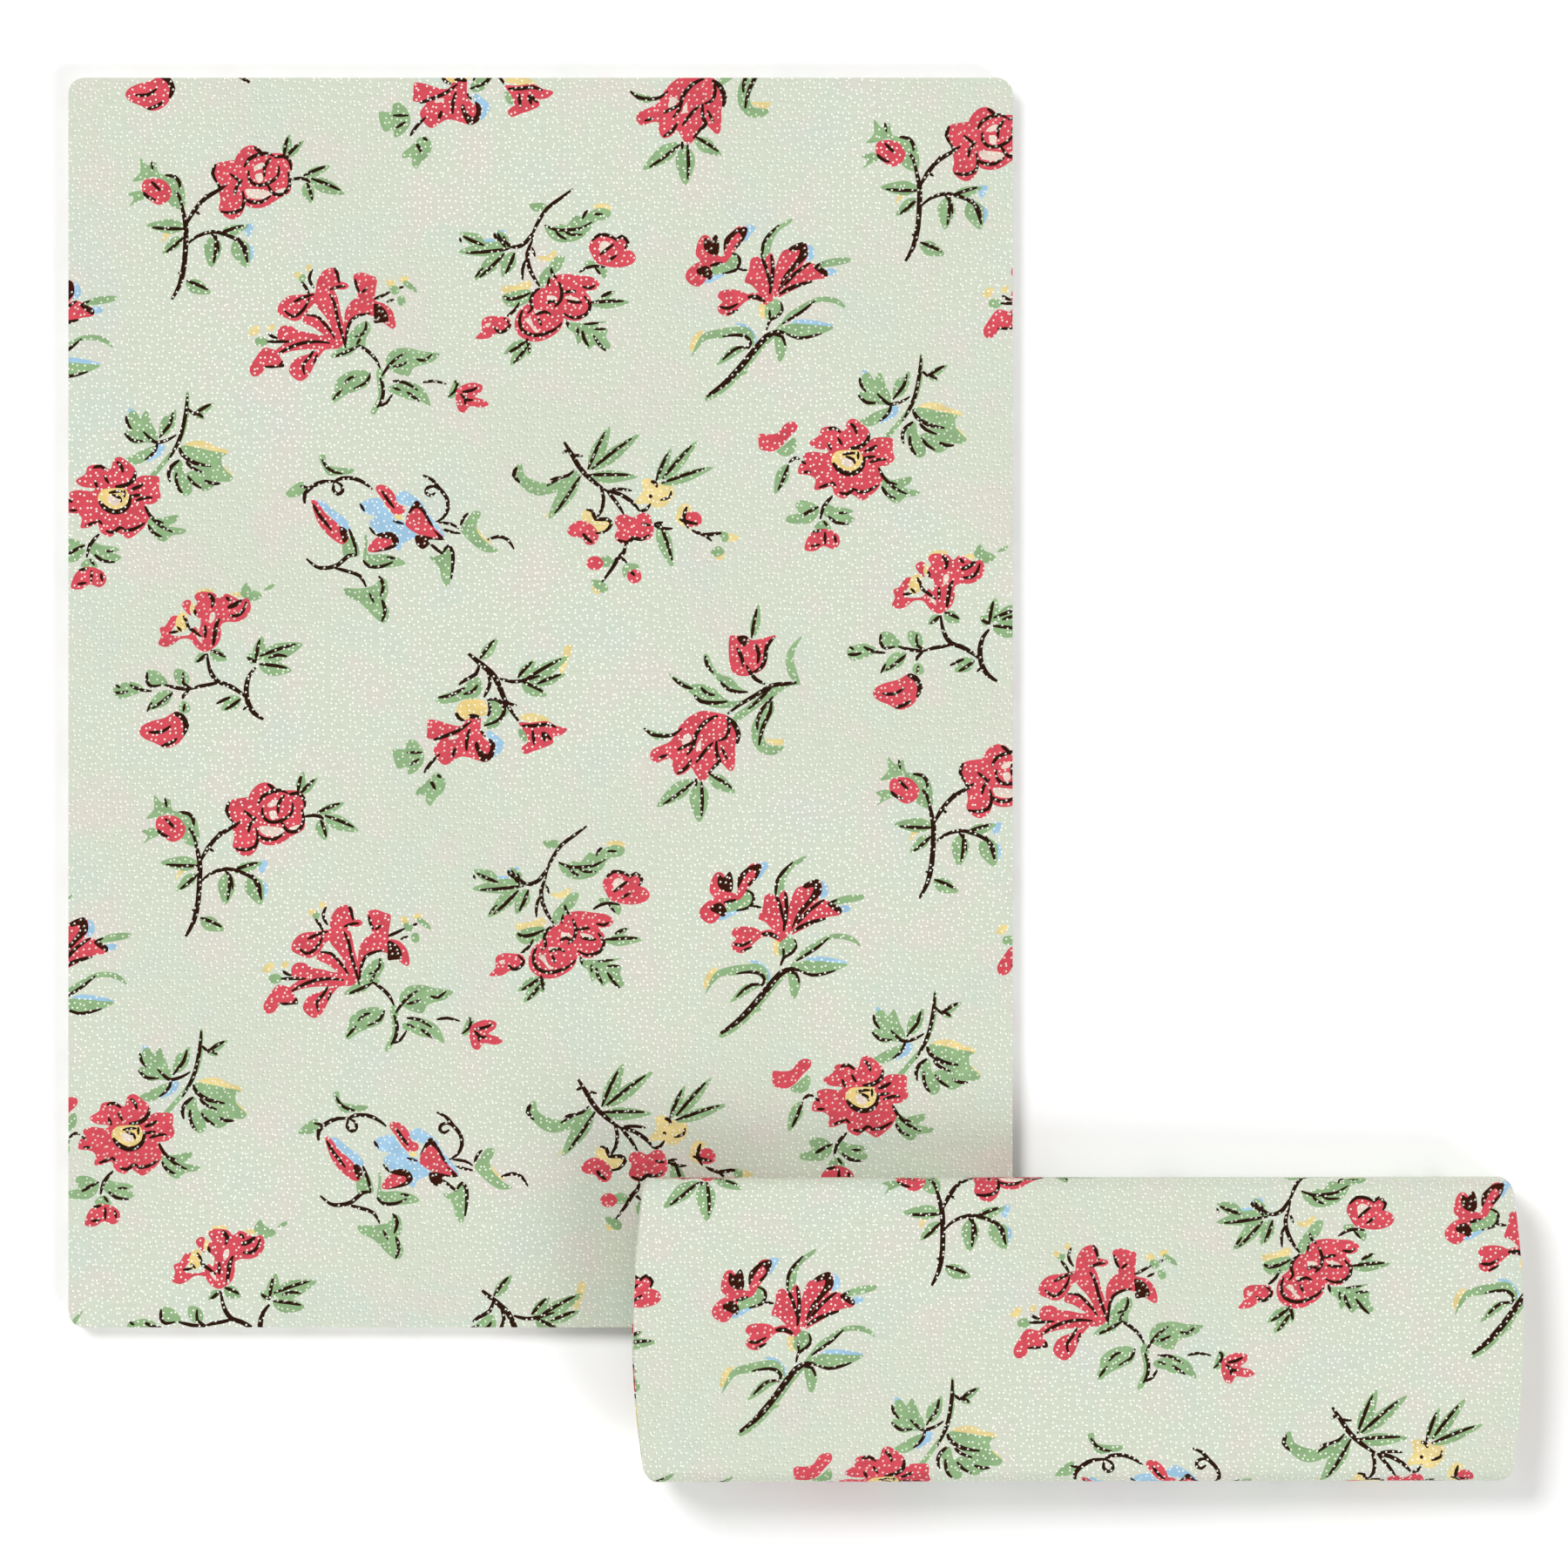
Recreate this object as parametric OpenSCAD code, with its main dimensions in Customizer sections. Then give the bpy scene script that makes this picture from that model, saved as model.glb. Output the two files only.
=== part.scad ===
// Bolt of doubled printed cotton, wound on a corrugated board, and a flat-folded length of the same cloth.
// The folded length lies on the table. The bolt leans on the right-hand edge of it, and its own right
// end rests on the table.
// +X runs along the bolt, +Y from the bolt towards the far end of the folded length, +Z up.

/* [Folded length] */
// Width of the folded length, which is half the width of the cloth
stack_w = 600; // [500:10:700]
// Depth of one leaf, from fold to fold
stack_d = 794; // [600:2:900]
// Number of leaves laid on each other
leaves = 15; // [5:2:21]
// Height that one leaf takes in the pile
leaf_pitch = 0.8; // [0.75:0.05:1]
// Radius of the pile's corners
stack_corner_r = 10; // [5:1:20]

/* [Cloth] */
// Thickness of the doubled cloth
cloth_t = 0.62; // [0.5:0.02:0.65]

/* [Bolt] */
// Length of the bolt at the middle of its bowed ends
bolt_len = 564; // [520:2:600]
// How far each end of the winding bows out
end_bow = 8; // [4:1:12]
// Distance from one turn of cloth to the next
turn_pitch = 0.72; // [0.7:0.02:0.8]
// Whole turns of cloth on the board
whole_turns = 12; // [6:1:16]
// Gap between the board and the first turn
board_gap = 0.3; // [0.2:0.05:0.5]
// Distance from the bolt's middle back to the folded length's edge that holds it up
lean_back = 40; // [20:5:60]

/* [Loose end] */
// Distance of the turn-back line from the winding's middle
turn_back_y = 80; // [60:1:82]
// How far the loose end hangs down the front side
lip_drop = 18; // [8:1:20]
// Air under the loose end
loose_gap = 0.3; // [0.2:0.05:0.5]

/* [Board] */
// Width of the corrugated board that the cloth is wound on
board_w = 172; // [150:2:180]
// Thickness of the folded board
board_t = 20; // [16:1:24]
// Thickness of its corrugated wall
wall_t = 3; // [3:0.1:4]
// Thickness of each paper liner
liner_t = 0.45; // [0.4:0.05:0.5]
// Thickness of the wavy paper between the liners
medium_t = 0.35; // [0.3:0.05:0.4]
// Length of one wave
flute_pitch = 6.5; // [6:0.1:8]
// Distance of each spacer rib from the board's middle
rib_y = 28; // [20:1:40]
// Thickness of the end tabs
tab_t = 1.2; // [1:0.1:1.5]

/* [Hidden] */

arc_steps = 4;            // straight steps in each turned corner
rest_gap = 0.3;           // air between the bolt and what it leans on
floor_gap = 0.05;         // air between the bolt's right end and the table
glue_line = 0.05;         // between the wavy paper and its liners, and between the ribs and the inner liner
tab_gap = 0.2;            // air above and below each end tab
tab_side_gap = 0.4;       // air at each side of an end tab
rib_end_gap = 2;          // air between the ribs' ends and the end tabs' swing
start_y = -30;            // where the cloth's inner end lies under the board
label_w = 120;
label_t = 0.2;
label_margin = 2;         // board left bare above and below the label
wave_steps = 6;           // straight steps in each wave
bow_sides = 180;          // sides of the large circle that bows the ends
corner_sides = 48;        // sides of the circle in the pile's corners
overshoot = 1;            // how far a cutting shape reaches past what it cuts

corners = 4 * whole_turns + 2;
half_w = board_w / 2;
half_t = board_t / 2;
board_len = bolt_len - 2 * end_bow;
inner_w = board_w - 2 * wall_t;
inner_t = board_t - 2 * wall_t;

// Offset of the cloth's inner face from the board, after a number of corners
function offset_at(corner) = board_gap + turn_pitch * corner / 4;

under_z = -(half_t + offset_at(corners - 2) + cloth_t);
loose_offset = offset_at(corners - 3) + cloth_t + loose_gap;
top_z = half_t + loose_offset + cloth_t;
end_bow_r = (pow(half_w + loose_offset, 2) + end_bow * end_bow) / (2 * end_bow);

stack_top = leaf_pitch * (leaves - 1) + cloth_t;
fold_reach = (leaf_pitch + cloth_t) / 2;   // from a fold's middle to the pile's front or far face
lean = asin((stack_top + rest_gap) / (bolt_len / 2 + lean_back));
bolt_mid_z = floor_gap + bolt_len / 2 * sin(lean) - under_z * cos(lean);
bolt_mid_x = lean_back * cos(lean) - under_z * sin(lean);   // from the folded length's right edge
total_x = stack_w + bolt_mid_x + bolt_len / 2 * cos(lean) + top_z * sin(lean);
bolt_half_y = half_w + loose_offset + cloth_t;
total_y = stack_d + bolt_half_y;
stack_right = stack_w - total_x / 2;
stack_front = total_y / 2 - stack_d;

module place_bolt() {
    translate([stack_right + bolt_mid_x, stack_front, bolt_mid_z]) rotate([0, lean, 0]) children();
}

// Draws a [y, z] outline and runs it along X
module along_x(length) {
    rotate([90, 0, 90]) linear_extrude(height = length, center = true) children();
}

// Keeps what lies between the two bowed ends
module between_bowed_ends() {
    tall = 3 * top_z;
    shift = bolt_len / 2 - end_bow_r;
    intersection() {
        children();
        translate([shift, 0, -tall / 2]) cylinder(r = end_bow_r, h = tall, $fn = bow_sides);
        translate([-shift, 0, -tall / 2]) cylinder(r = end_bow_r, h = tall, $fn = bow_sides);
    }
}

// Centre of the turned corner: 0 is rear bottom, 1 rear top, 2 front top and 3 front bottom
function corner_centre(c) = [
    (c % 4 < 2 ? 1 : -1) * half_w,
    (c % 4 == 0 || c % 4 == 3 ? -1 : 1) * half_t
];

// Point on a turned corner, a share of the way round it, at an offset from the board
function corner_point(c, share, away) =
    corner_centre(c) + away * [cos(90 * (c + share - 1)), sin(90 * (c + share - 1))];

// One face of the spiral of cloth, from the first turn outwards
function spiral_face(lift) = [
    for (c = [0 : corners - 1], s = [0 : arc_steps])
        corner_point(c, s / arc_steps, offset_at(c + s / arc_steps) + lift)
];

function reversed(list) = [for (i = [len(list) - 1 : -1 : 0]) list[i]];

// The doubled cloth, wound from under the board to the turn-back line at the rear of the top
module wound_cloth() {
    first_z = -(half_t + board_gap);
    last_z = half_t + offset_at(corners);
    last_y = turn_back_y + loose_gap;
    face_in = concat([[start_y, first_z]], spiral_face(0), [[last_y, last_z]]);
    face_out = concat([[start_y, first_z - cloth_t]], spiral_face(cloth_t), [[last_y, last_z + cloth_t]]);
    color("honeydew") between_bowed_ends() along_x(bolt_len + 2 * overshoot)
        polygon(concat(face_in, reversed(face_out)));
}

// The last half turn, over the top and down the front side, which folds back at the turn-back line
function loose_face(lift) = concat(
    [[turn_back_y, half_t + loose_offset + lift]],
    [for (s = [0 : arc_steps]) corner_point(2, s / arc_steps, loose_offset + lift)],
    [[-half_w - loose_offset - lift, half_t - lip_drop]]
);

module loose_end() {
    color("honeydew") between_bowed_ends() along_x(bolt_len + 2 * overshoot)
        polygon(concat(loose_face(0), reversed(loose_face(cloth_t))));
}

// A rectangular tube of paper along X
module paper_tube(width, height, thick) {
    difference() {
        cube([board_len, width, height], center = true);
        cube([board_len + 2 * overshoot, width - 2 * thick, height - 2 * thick], center = true);
    }
}

module board_outer_liner() {
    color("burlywood") paper_tube(board_w, board_t, liner_t);
}

module board_inner_liner() {
    color("burlywood") paper_tube(inner_w + 2 * liner_t, inner_t + 2 * liner_t, liner_t);
}

// A wavy ribbon of paper along X, as wide as whole waves allow
module wavy_ribbon(width) {
    waves = floor(width / flute_pitch);
    steps = waves * wave_steps;
    crest = (wall_t - 2 * liner_t - medium_t) / 2 - glue_line;
    function wave(lift) = [
        for (i = [0 : steps])
            [(i / wave_steps - waves / 2) * flute_pitch, crest * cos(360 * i / wave_steps) + lift]
    ];
    along_x(board_len) polygon(concat(wave(-medium_t / 2), reversed(wave(medium_t / 2))));
}

module board_fluting() {
    mid_wall = wall_t / 2;
    color("peru") {
        for (side = [-1, 1]) {
            translate([0, 0, side * (half_t - mid_wall)]) wavy_ribbon(inner_w);
            translate([0, side * (half_w - mid_wall), 0]) rotate([90, 0, 0]) wavy_ribbon(inner_t);
        }
    }
}

module spacer_ribs() {
    inset = 2 * tab_t + rib_end_gap;
    rib_size = [board_len - 2 * inset, wall_t, inner_t - 2 * glue_line];
    color("tan") for (side = [-1, 1])
        translate([0, side * rib_y, 0]) cube(rib_size, center = true);
}

// A flap that closes one end of the board, hinged along its upper edge
module end_tab(side) {
    tab_size = [tab_t, inner_w - 2 * tab_side_gap, inner_t - 2 * tab_gap];
    color("tan") translate([side * (board_len - tab_t) / 2, 0, 0]) cube(tab_size, center = true);
}

// A blank paper label on the outside of the left end tab
module end_label() {
    label_size = [label_t, label_w, inner_t - 2 * label_margin];
    color("ivory") translate([-(board_len + label_t) / 2, 0, 0]) cube(label_size, center = true);
}

// Flat outline of the pile, with rounded corners
module pile_outline(height) {
    translate([0, 0, -overshoot]) {
        for (x = [stack_corner_r, stack_w - stack_corner_r], y = [stack_corner_r, stack_d - stack_corner_r])
            translate([x, y, 0]) cylinder(r = stack_corner_r, h = height, $fn = corner_sides);
        translate([0, stack_corner_r, 0]) cube([stack_w, stack_d - 2 * stack_corner_r, height]);
        translate([stack_corner_r, 0, 0]) cube([stack_w - 2 * stack_corner_r, stack_d, height]);
    }
}

// The fold at the end of a leaf, on the face of the cloth that lies at a radius from the fold's middle
function fold_points(far, mid_z, fold_r) = [
    for (s = [0 : arc_steps])
        let (turn = -90 + 180 * s / arc_steps)
            [
                far ? stack_d - fold_reach + fold_r * cos(turn) : fold_reach - fold_r * cos(turn),
                mid_z + fold_r * sin(turn)
            ]
];

// One face of the cloth as it runs to and fro through the pile, with a fold after every leaf but the last
function pile_face(side) = [
    for (i = [0 : leaves - 1])
        let (
            far = i % 2 == 0,
            away = far ? side : -side,
            z = cloth_t / 2 + i * leaf_pitch
        )
            each i == leaves - 1
                ? [[far ? stack_d : 0, z - away * cloth_t / 2]]
                : fold_points(far, z + leaf_pitch / 2, (leaf_pitch + away * cloth_t) / 2)
];

module folded_length() {
    start_in = [0, cloth_t];
    start_out = [0, 0];
    color("honeydew") translate([stack_right - stack_w, stack_front, 0]) intersection() {
        translate([stack_w / 2, 0, 0]) along_x(stack_w + 2 * overshoot)
            polygon(concat([start_out], pile_face(1), reversed(pile_face(-1)), [start_in]));
        pile_outline(stack_top + 2 * overshoot);
    }
}

folded_length();
place_bolt() wound_cloth();
place_bolt() loose_end();
place_bolt() board_outer_liner();
place_bolt() board_fluting();
place_bolt() board_inner_liner();
place_bolt() spacer_ribs();
place_bolt() end_tab(-1);  // left_end_tab
place_bolt() end_tab(1);  // right_end_tab
place_bolt() end_label();
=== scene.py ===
import math
import random

import bpy
import numpy as np
from mathutils import Matrix, Vector
from mathutils.geometry import delaunay_2d_cdt


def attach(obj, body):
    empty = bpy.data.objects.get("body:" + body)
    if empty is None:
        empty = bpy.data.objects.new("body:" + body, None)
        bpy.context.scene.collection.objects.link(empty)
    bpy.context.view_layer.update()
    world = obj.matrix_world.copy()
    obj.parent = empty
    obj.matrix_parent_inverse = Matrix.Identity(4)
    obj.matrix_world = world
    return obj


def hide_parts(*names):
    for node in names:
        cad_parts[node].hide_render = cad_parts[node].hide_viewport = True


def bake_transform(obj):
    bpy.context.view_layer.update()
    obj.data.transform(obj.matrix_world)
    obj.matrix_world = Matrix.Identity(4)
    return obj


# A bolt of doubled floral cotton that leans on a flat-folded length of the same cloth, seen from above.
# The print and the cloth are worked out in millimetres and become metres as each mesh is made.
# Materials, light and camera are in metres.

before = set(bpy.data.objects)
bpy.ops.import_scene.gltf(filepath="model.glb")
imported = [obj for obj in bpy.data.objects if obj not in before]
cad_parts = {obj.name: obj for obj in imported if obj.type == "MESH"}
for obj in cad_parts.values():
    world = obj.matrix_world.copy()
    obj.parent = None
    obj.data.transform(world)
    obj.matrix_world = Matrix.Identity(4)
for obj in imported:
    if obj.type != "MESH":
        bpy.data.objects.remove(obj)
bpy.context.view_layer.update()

MM = 0.001

# ---------------------------------------------------------------- the print

# Each sprig is drawn about its own middle, which stands at "at", in the colours that it is printed with.
# A leaf is (base, tip, width), a line is (width, points along it), and the rest are smooth closed outlines.
SPRIGS = {
    "rose spray": {
        "at": (-356.0, 342.3),
        "blue": [(6, 9, 12, 10, 11, 5, 8, 2), (6, -2, 12, -5, 12, -10, 9, -14)],
        "yellow": [(-33, 7, -40, 4, -46, -2, -44, 5, -38, 8)],
        "leaves": [
            (32, 53, 35, 67, 6), (33, 52, 44, 63, 5), (44, 40, 61, 47, 6), (48, 38, 70, 29, 9),
            (45, 36, 49, 23, 8), (-31, 8, -56, 9, 9), (-33, 2, -46, -9, 7), (-10, 3, 9, 9, 7),
            (-13, 3, -15, -18, 11), (1, 1, 8, -18, 12), (-31, -27, -15, -34, 9),
        ],
        "green": [
            (-60, 52, -55, 47, -50, 50, -48, 42, -38, 41, -33, 36, -31, 24, -34, 19, -42, 23, -44, 32,
             -50, 40, -57, 38, -65, 37, -60, 43),
            (-68, 29, -60, 31, -56, 27, -62, 24, -67, 21, -64, 26),
        ],
        "red": [
            (-59, 34, -57, 38, -50, 39, -44, 37, -40, 31, -42, 25, -48, 22, -54, 25, -58, 29),
            (0, 50, 4, 57, 10, 60, 16, 58, 18, 53, 12, 46, 4, 46),
            (-14, 42, -12, 48, -5, 50, 2, 50, 6, 44, 2, 36, -6, 35, -12, 36),
            (-10, 32, -9, 25, -10, 19, -5, 14, 0, 13, 5, 17, 7, 25, 5, 32, 0, 36, -6, 36),
            (5, 50, 14, 54, 24, 55, 33, 54, 37, 48, 35, 42, 36, 36, 35, 30, 28, 26, 20, 21, 12, 20, 6, 23,
             4, 32, 4, 42),
        ],
        "pale": [
            (12, 46, 17, 49, 20, 47, 14, 44), (13, 41, 17, 42, 18, 38, 15, 36),
            (7, 32, 14, 32, 21, 31, 23, 29, 19, 26, 12, 26, 8, 28), (26, 31, 32, 33, 33, 31, 28, 29),
        ],
        "lines": [
            (2.2, -40, -38, -35, -29, -32, -16, -31, 0, -31, 9, -33, 19, -34, 24),
            (1.9, -31, 9, -26, 18, -19, 26, -11, 31, -5, 35), (1.3, -19, 26, -18, 29),
            (1.3, -25, 18, -22, 16), (1.2, -34, -17, -31, -19), (1.2, -36, -21, -33, -22),
            (1.6, -8, 31, -11, 36), (1.6, -30, -3, -24, 2, -14, 5, -5, 3, 3, -1, 7, -5, 8, -11),
            (1.3, -15, 4, -11, -1, -10, -8), (1.5, 35, 38, 41, 39, 46, 38, 48, 36),
            (1.6, -44, 41, -38, 40, -35, 36, -35, 32), (1.5, -38, 31, -35, 27, -34, 22),
            (1.3, -53, 50, -52, 44), (1.5, -58, 30, -55, 27, -50, 25), (1.4, -53, 37, -49, 33, -47, 31),
            (1.6, 6, 46, 9, 51, 15, 54, 20, 55, 25, 53), (1.6, 25, 52, 31, 53, 35, 50, 36, 44),
            (1.5, 23, 52, 19, 46, 19, 40), (1.5, 9, 44, 9, 39, 13, 35, 19, 35, 25, 38, 28, 42, 28, 47),
            (1.6, 34, 43, 35, 35, 31, 29, 25, 29, 22, 33, 20, 36), (1.6, 5, 27, 10, 24, 17, 24, 23, 28),
            (1.5, -9, 18, -3, 17, 4, 19, 6, 25, 5, 31), (1.4, 0, 28, 1, 33, 5, 38),
            (1.5, -12, 48, -14, 42, -11, 36), (1.5, 12, 59, 16, 56, 18, 53), (1.3, -3, 42, 2, 38, 4, 36),
        ],
    },
    "honeysuckle": {
        "at": (-267.5, 281.5),
        "yellow": [
            (-80, 1, -76, 6, -72, 5, -75, 0), (-67, 6, -63, 7, -64, 3, -67, 3),
            (-50, 40, -46, 40, -47, 36, -50, 37), (-43, 44, -40, 45, -40, 41, -43, 41),
            (8, 35, 13, 35, 13, 31, 9, 31), (17, 37, 22, 37, 21, 33, 17, 34),
        ],
        "leaves": [(-10, -6, -28, -14, 7)],
        "green": [
            (-14, 3, -10, 7, -4, 9, -2, 4, -5, -2, -6, -8, -12, -6, -17, -3),
            (8, -20, 8, -14, 13, -9, 22, -8, 30, -10, 38, -11, 42, -12, 37, -17, 30, -19, 25, -21,
             22, -26, 14, -24),
            (9, -33, 14, -31, 20, -29, 27, -31, 33, -36, 36, -45, 30, -42, 22, -41, 15, -38, 10, -36),
            (-2, -27, -4, -23, -10, -22, -18, -24, -24, -29, -25, -35, -27, -39, -26, -43, -22, -41,
             -18, -38, -10, -35, -4, -32),
            (2, -27, 6, -28, 7, -35, 5, -42, 1, -50, -2, -49, 0, -44, 3, -38),
            (2, -22, 5, -21, 7, -27, 2, -28), (47, -39, 50, -31, 52, -28, 55, -31, 54, -36, 50, -40),
            (-75, -2, -70, -1, -67, -4, -70, -7, -75, -6), (-48, 36, -45, 39, -43, 37, -45, 33),
            (10, 31, 15, 31, 16, 27, 12, 26), (20, 35, 26, 31, 27, 27, 19, 32),
            (15, 24, 19, 25, 20, 20, 16, 19),
        ],
        "red": [
            (-37, 28, -36, 35, -32, 41, -26, 43, -22, 40, -22, 35, -17, 33, -16, 31, -19, 29, -25, 29,
             -23, 24, -21, 14, -18, 3, -17, -2, -22, -8, -28, -8, -30, -2, -27, 4, -31, 12, -36, 18,
             -38, 24),
            (-37, 27, -44, 26, -54, 25, -60, 20, -61, 14, -56, 11, -50, 9, -44, 12, -40, 18, -36, 22),
            (-28, -2, -34, 2, -40, 6, -45, 8, -44, 12, -38, 13, -32, 10, -27, 4, -25, 0),
            (-26, -8, -36, -9, -44, -9, -52, -10, -60, -12, -62, -9, -57, -5, -61, -2, -61, 3, -58, 6,
             -53, 6, -48, 3, -42, 2, -34, 0, -28, 0),
            (-58, -11, -64, -9, -70, -8, -75, -14, -79, -21, -77, -26, -72, -25, -68, -20, -60, -20,
             -57, -18, -60, -13),
            (-27, -7, -34, -9, -42, -12, -50, -15, -54, -22, -51, -27, -46, -29, -41, -25, -37, -17,
             -32, -10),
            (-20, -2, -19, 8, -18, 16, -14, 22, -10, 25, -12, 32, -13, 38, -8, 40, -2, 38, 2, 36, 1, 28,
             1, 22, 7, 20, 12, 15, 14, 7, 12, 4, 6, 8, 0, 12, -7, 13, -13, 11, -17, 4),
            (53, -34, 58, -31, 64, -30, 69, -32, 68, -36, 64, -39, 70, -41, 73, -44, 68, -46, 61, -45,
             58, -49, 54, -48, 52, -42, 52, -38),
        ],
        "brown": [(0, 20, 4, 19, 8, 15, 9, 9, 4, 8, 0, 8, 0, 14), (-61, -20, -58, -16, -57, -20)],
        "lines": [
            (1.4, -28, 26, -25, 20, -23, 10, -20, 0, -18, -8), (1.4, -46, 34, -43, 30, -41, 26),
            (1.4, -39, 42, -41, 37, -40, 33, -38, 30), (1.4, -68, -4, -60, -4, -52, -4),
            (1.4, -67, 1, -64, -1, -61, -2), (1.4, 0, 23, 5, 25, 11, 28), (1.3, 8, 21, 13, 23),
            (1.3, 16, 30, 19, 31), (1.5, -61, -12, -54, -8, -46, -5, -36, -4, -28, -5),
            (1.3, -43, 13, -36, 12, -32, 8, -27, 2, -25, -2), (1.4, -51, 21, -45, 24, -38, 26),
            (1.4, -57, 16, -52, 12, -47, 14, -43, 19, -41, 24), (1.4, -25, 43, -23, 38, -22, 33),
            (1.3, -28, 29, -22, 31, -18, 31), (1.4, -18, -6, -17, 3, -14, 10, -8, 13, -2, 14),
            (1.3, -12, 36, -11, 31, -9, 27), (1.3, -8, 27, -4, 30),
            (1.4, -38, -9, -41, -14, -45, -19, -44, -25), (1.3, -36, -12, -38, -18),
            (1.3, -70, -20, -60, -20), (1.6, -10, -6, -4, -10, 1, -15, 4, -21), (1.4, -11, -6, -8, -1),
            (1.3, -12, -1, -7, 1, -5, 5, -5, 9), (1.6, 4, -27, 6, -34, 5, -41, 2, -46),
            (1.4, 5, -26, 9, -20, 14, -15, 20, -11), (1.3, 12, -20, 17, -19, 21, -17),
            (1.3, 27, -15, 32, -16, 37, -12), (1.4, 12, -29, 20, -30, 28, -35), (1.3, 12, -33, 17, -35),
            (1.4, 21, -36, 25, -39, 29, -42), (1.3, 3, -45, 8, -43, 12, -37),
            (1.3, -2, -24, -5, -30, -13, -34), (1.3, -19, -31, -15, -27, -11, -26),
            (1.4, -26, -41, -20, -34), (1.3, 31, -30, 38, -29, 46, -31),
            (1.3, 51, -29, 53, -31, 51, -36, 47, -39), (1.4, 56, -36, 62, -35, 66, -33),
            (1.4, 55, -37, 59, -41, 63, -41), (1.3, 58, -40, 58, -44),
        ],
    },
    "rose cluster": {
        "at": (-157.0, 317.5),
        "blue": [
            (-48, 24, -40, 25, -34, 25, -34, 20, -42, 19, -48, 21), (-33, 30, -28, 31, -27, 28, -32, 27),
        ],
        "yellow": [
            (28, 46, 34, 48, 40, 46, 39, 43, 33, 43), (-7, 14, 0, 15, 4, 18, 6, 16, 3, 12, -2, 11),
            (-29, -5, -20, -4, -13, -1, -10, -4, -14, -8, -22, -9, -28, -9),
        ],
        "leaves": [
            (-24, 20, -57, 17, 9), (-40, 22, -56, 29, 8), (-26, 20, -32, 31, 7), (-28, 17, -47, -1, 9),
            (-22, 17, -29, 1, 9), (27, -16, 52, -15, 7), (34, -12, 43, -8, 4), (-14, -39, -28, -48, 6),
            (-14, -38, -12, -49, 6), (-14, -43, -24, -55, 7),
        ],
        "green": [
            (-12, 47, -8, 48, -3, 48, 0, 45, -4, 43, -9, 43),
            (-2, 34, 4, 33, 8, 35, 12, 34, 17, 40, 22, 39, 26, 42, 33, 45, 40, 43, 38, 38, 30, 36, 26, 30,
             20, 25, 12, 23, 5, 24, 0, 28),
            (-6, 0, -2, 6, 1, 9, 5, 14, 11, 14, 8, 6, 4, 3, 0, -2, -4, -6),
            (-29, -11, -22, -8, -12, -7, -10, -12, -16, -17, -24, -18, -28, -15),
            (12, -28, 18, -28, 26, -28, 38, -27, 31, -30, 38, -32, 37, -37, 40, -43, 36, -46, 30, -42,
             26, -45, 22, -40, 19, -42, 17, -35, 13, -32),
            (30, 8, 36, 8, 38, 4, 36, 0, 33, 3), (24, 11, 30, 11, 29, 8, 24, 8),
        ],
        "red": [
            (26, 20, 28, 25, 33, 29, 39, 28, 44, 26, 49, 27, 51, 22, 50, 19, 54, 17, 56, 13, 53, 9, 45, 7,
             37, 8, 31, 10, 28, 15),
            (0, -2, 5, 2, 12, 3, 20, 2, 28, 1, 33, -3, 30, -7, 24, -8, 27, -12, 28, -18, 24, -24, 18, -27,
             10, -25, 4, -20, -2, -14, -2, -7),
            (-11, -12, -7, -7, -1, -6, 4, -10, 8, -18, 10, -25, 8, -32, 2, -37, -6, -40, -14, -39,
             -20, -34, -21, -27, -18, -20, -13, -16),
            (-46, -38, -42, -33, -42, -27, -38, -24, -31, -24, -25, -25, -23, -30, -27, -34, -33, -35,
             -38, -38),
        ],
        "pale": [
            (33, 22, 36, 24, 40, 22, 37, 19, 34, 16, 33, 18),
            (-15, -26, -11, -25, -9, -30, -6, -33, -8, -34, -12, -29), (0, -11, 4, -11, 6, -13, 0, -14),
            (12, -11, 18, -12, 20, -14, 13, -13), (-8, -20, -4, -20, -4, -22, -8, -22),
            (-40, -29, -36, -28, -38, -31),
        ],
        "lines": [
            (1.6, 16, 57, 8, 51, 0, 45, -5, 38, -9, 30, -10, 24),
            (1.8, -10, 29, -14, 23, -20, 20, -26, 21), (1.5, -28, 27, -27, 23, -23, 21),
            (1.4, -34, 29, -33, 26, -30, 24), (1.3, -46, 1, -41, 7), (1.2, -56, 26, -55, 23),
            (1.8, -10, 24, -13, 16, -12, 8, -9, 1, -5, -5), (1.4, -14, 12, -16, 6, -16, -1),
            (1.3, -10, 20, -8, 14), (1.4, -2, 34, 5, 31, 13, 31, 21, 32, 28, 36),
            (1.3, 5, 30, 8, 27, 12, 25), (1.3, 11, 30, 15, 28, 22, 28), (1.3, 22, 38, 24, 42, 26, 43),
            (1.3, 29, 41, 35, 41), (1.3, 2, 7, 3, 3, 6, 0), (1.4, 20, 4, 25, 7, 31, 8, 37, 7),
            (1.3, 30, 7, 34, 2), (1.5, 28, 24, 33, 28, 40, 27, 44, 24),
            (1.5, 43, 24, 47, 27, 51, 23, 49, 19), (1.4, 33, 15, 38, 19, 42, 22), (1.4, 38, 11, 44, 15),
            (1.5, 7, -2, 9, -8, 8, -14, 4, -18), (1.4, 9, -9, 15, -8, 18, -8),
            (1.4, 12, -14, 18, -15, 22, -15), (1.5, 23, -11, 27, -17, 24, -23, 16, -25, 10, -22),
            (1.3, 1, 1, 0, -5), (1.3, 22, -5, 27, -6, 30, -4), (1.5, -1, -16, 3, -14, 7, -17),
            (1.5, -5, -6, -9, -9, -11, -14, -10, -19, -13, -22),
            (1.6, -16, -20, -18, -26, -16, -33, -9, -36, -2, -35, 5, -32, 9, -28),
            (1.4, -8, -23, -2, -21, 2, -23), (1.4, -6, -25, -4, -30),
            (1.5, -34, -31, -31, -34, -27, -33, -24, -29, -28, -25),
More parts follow.
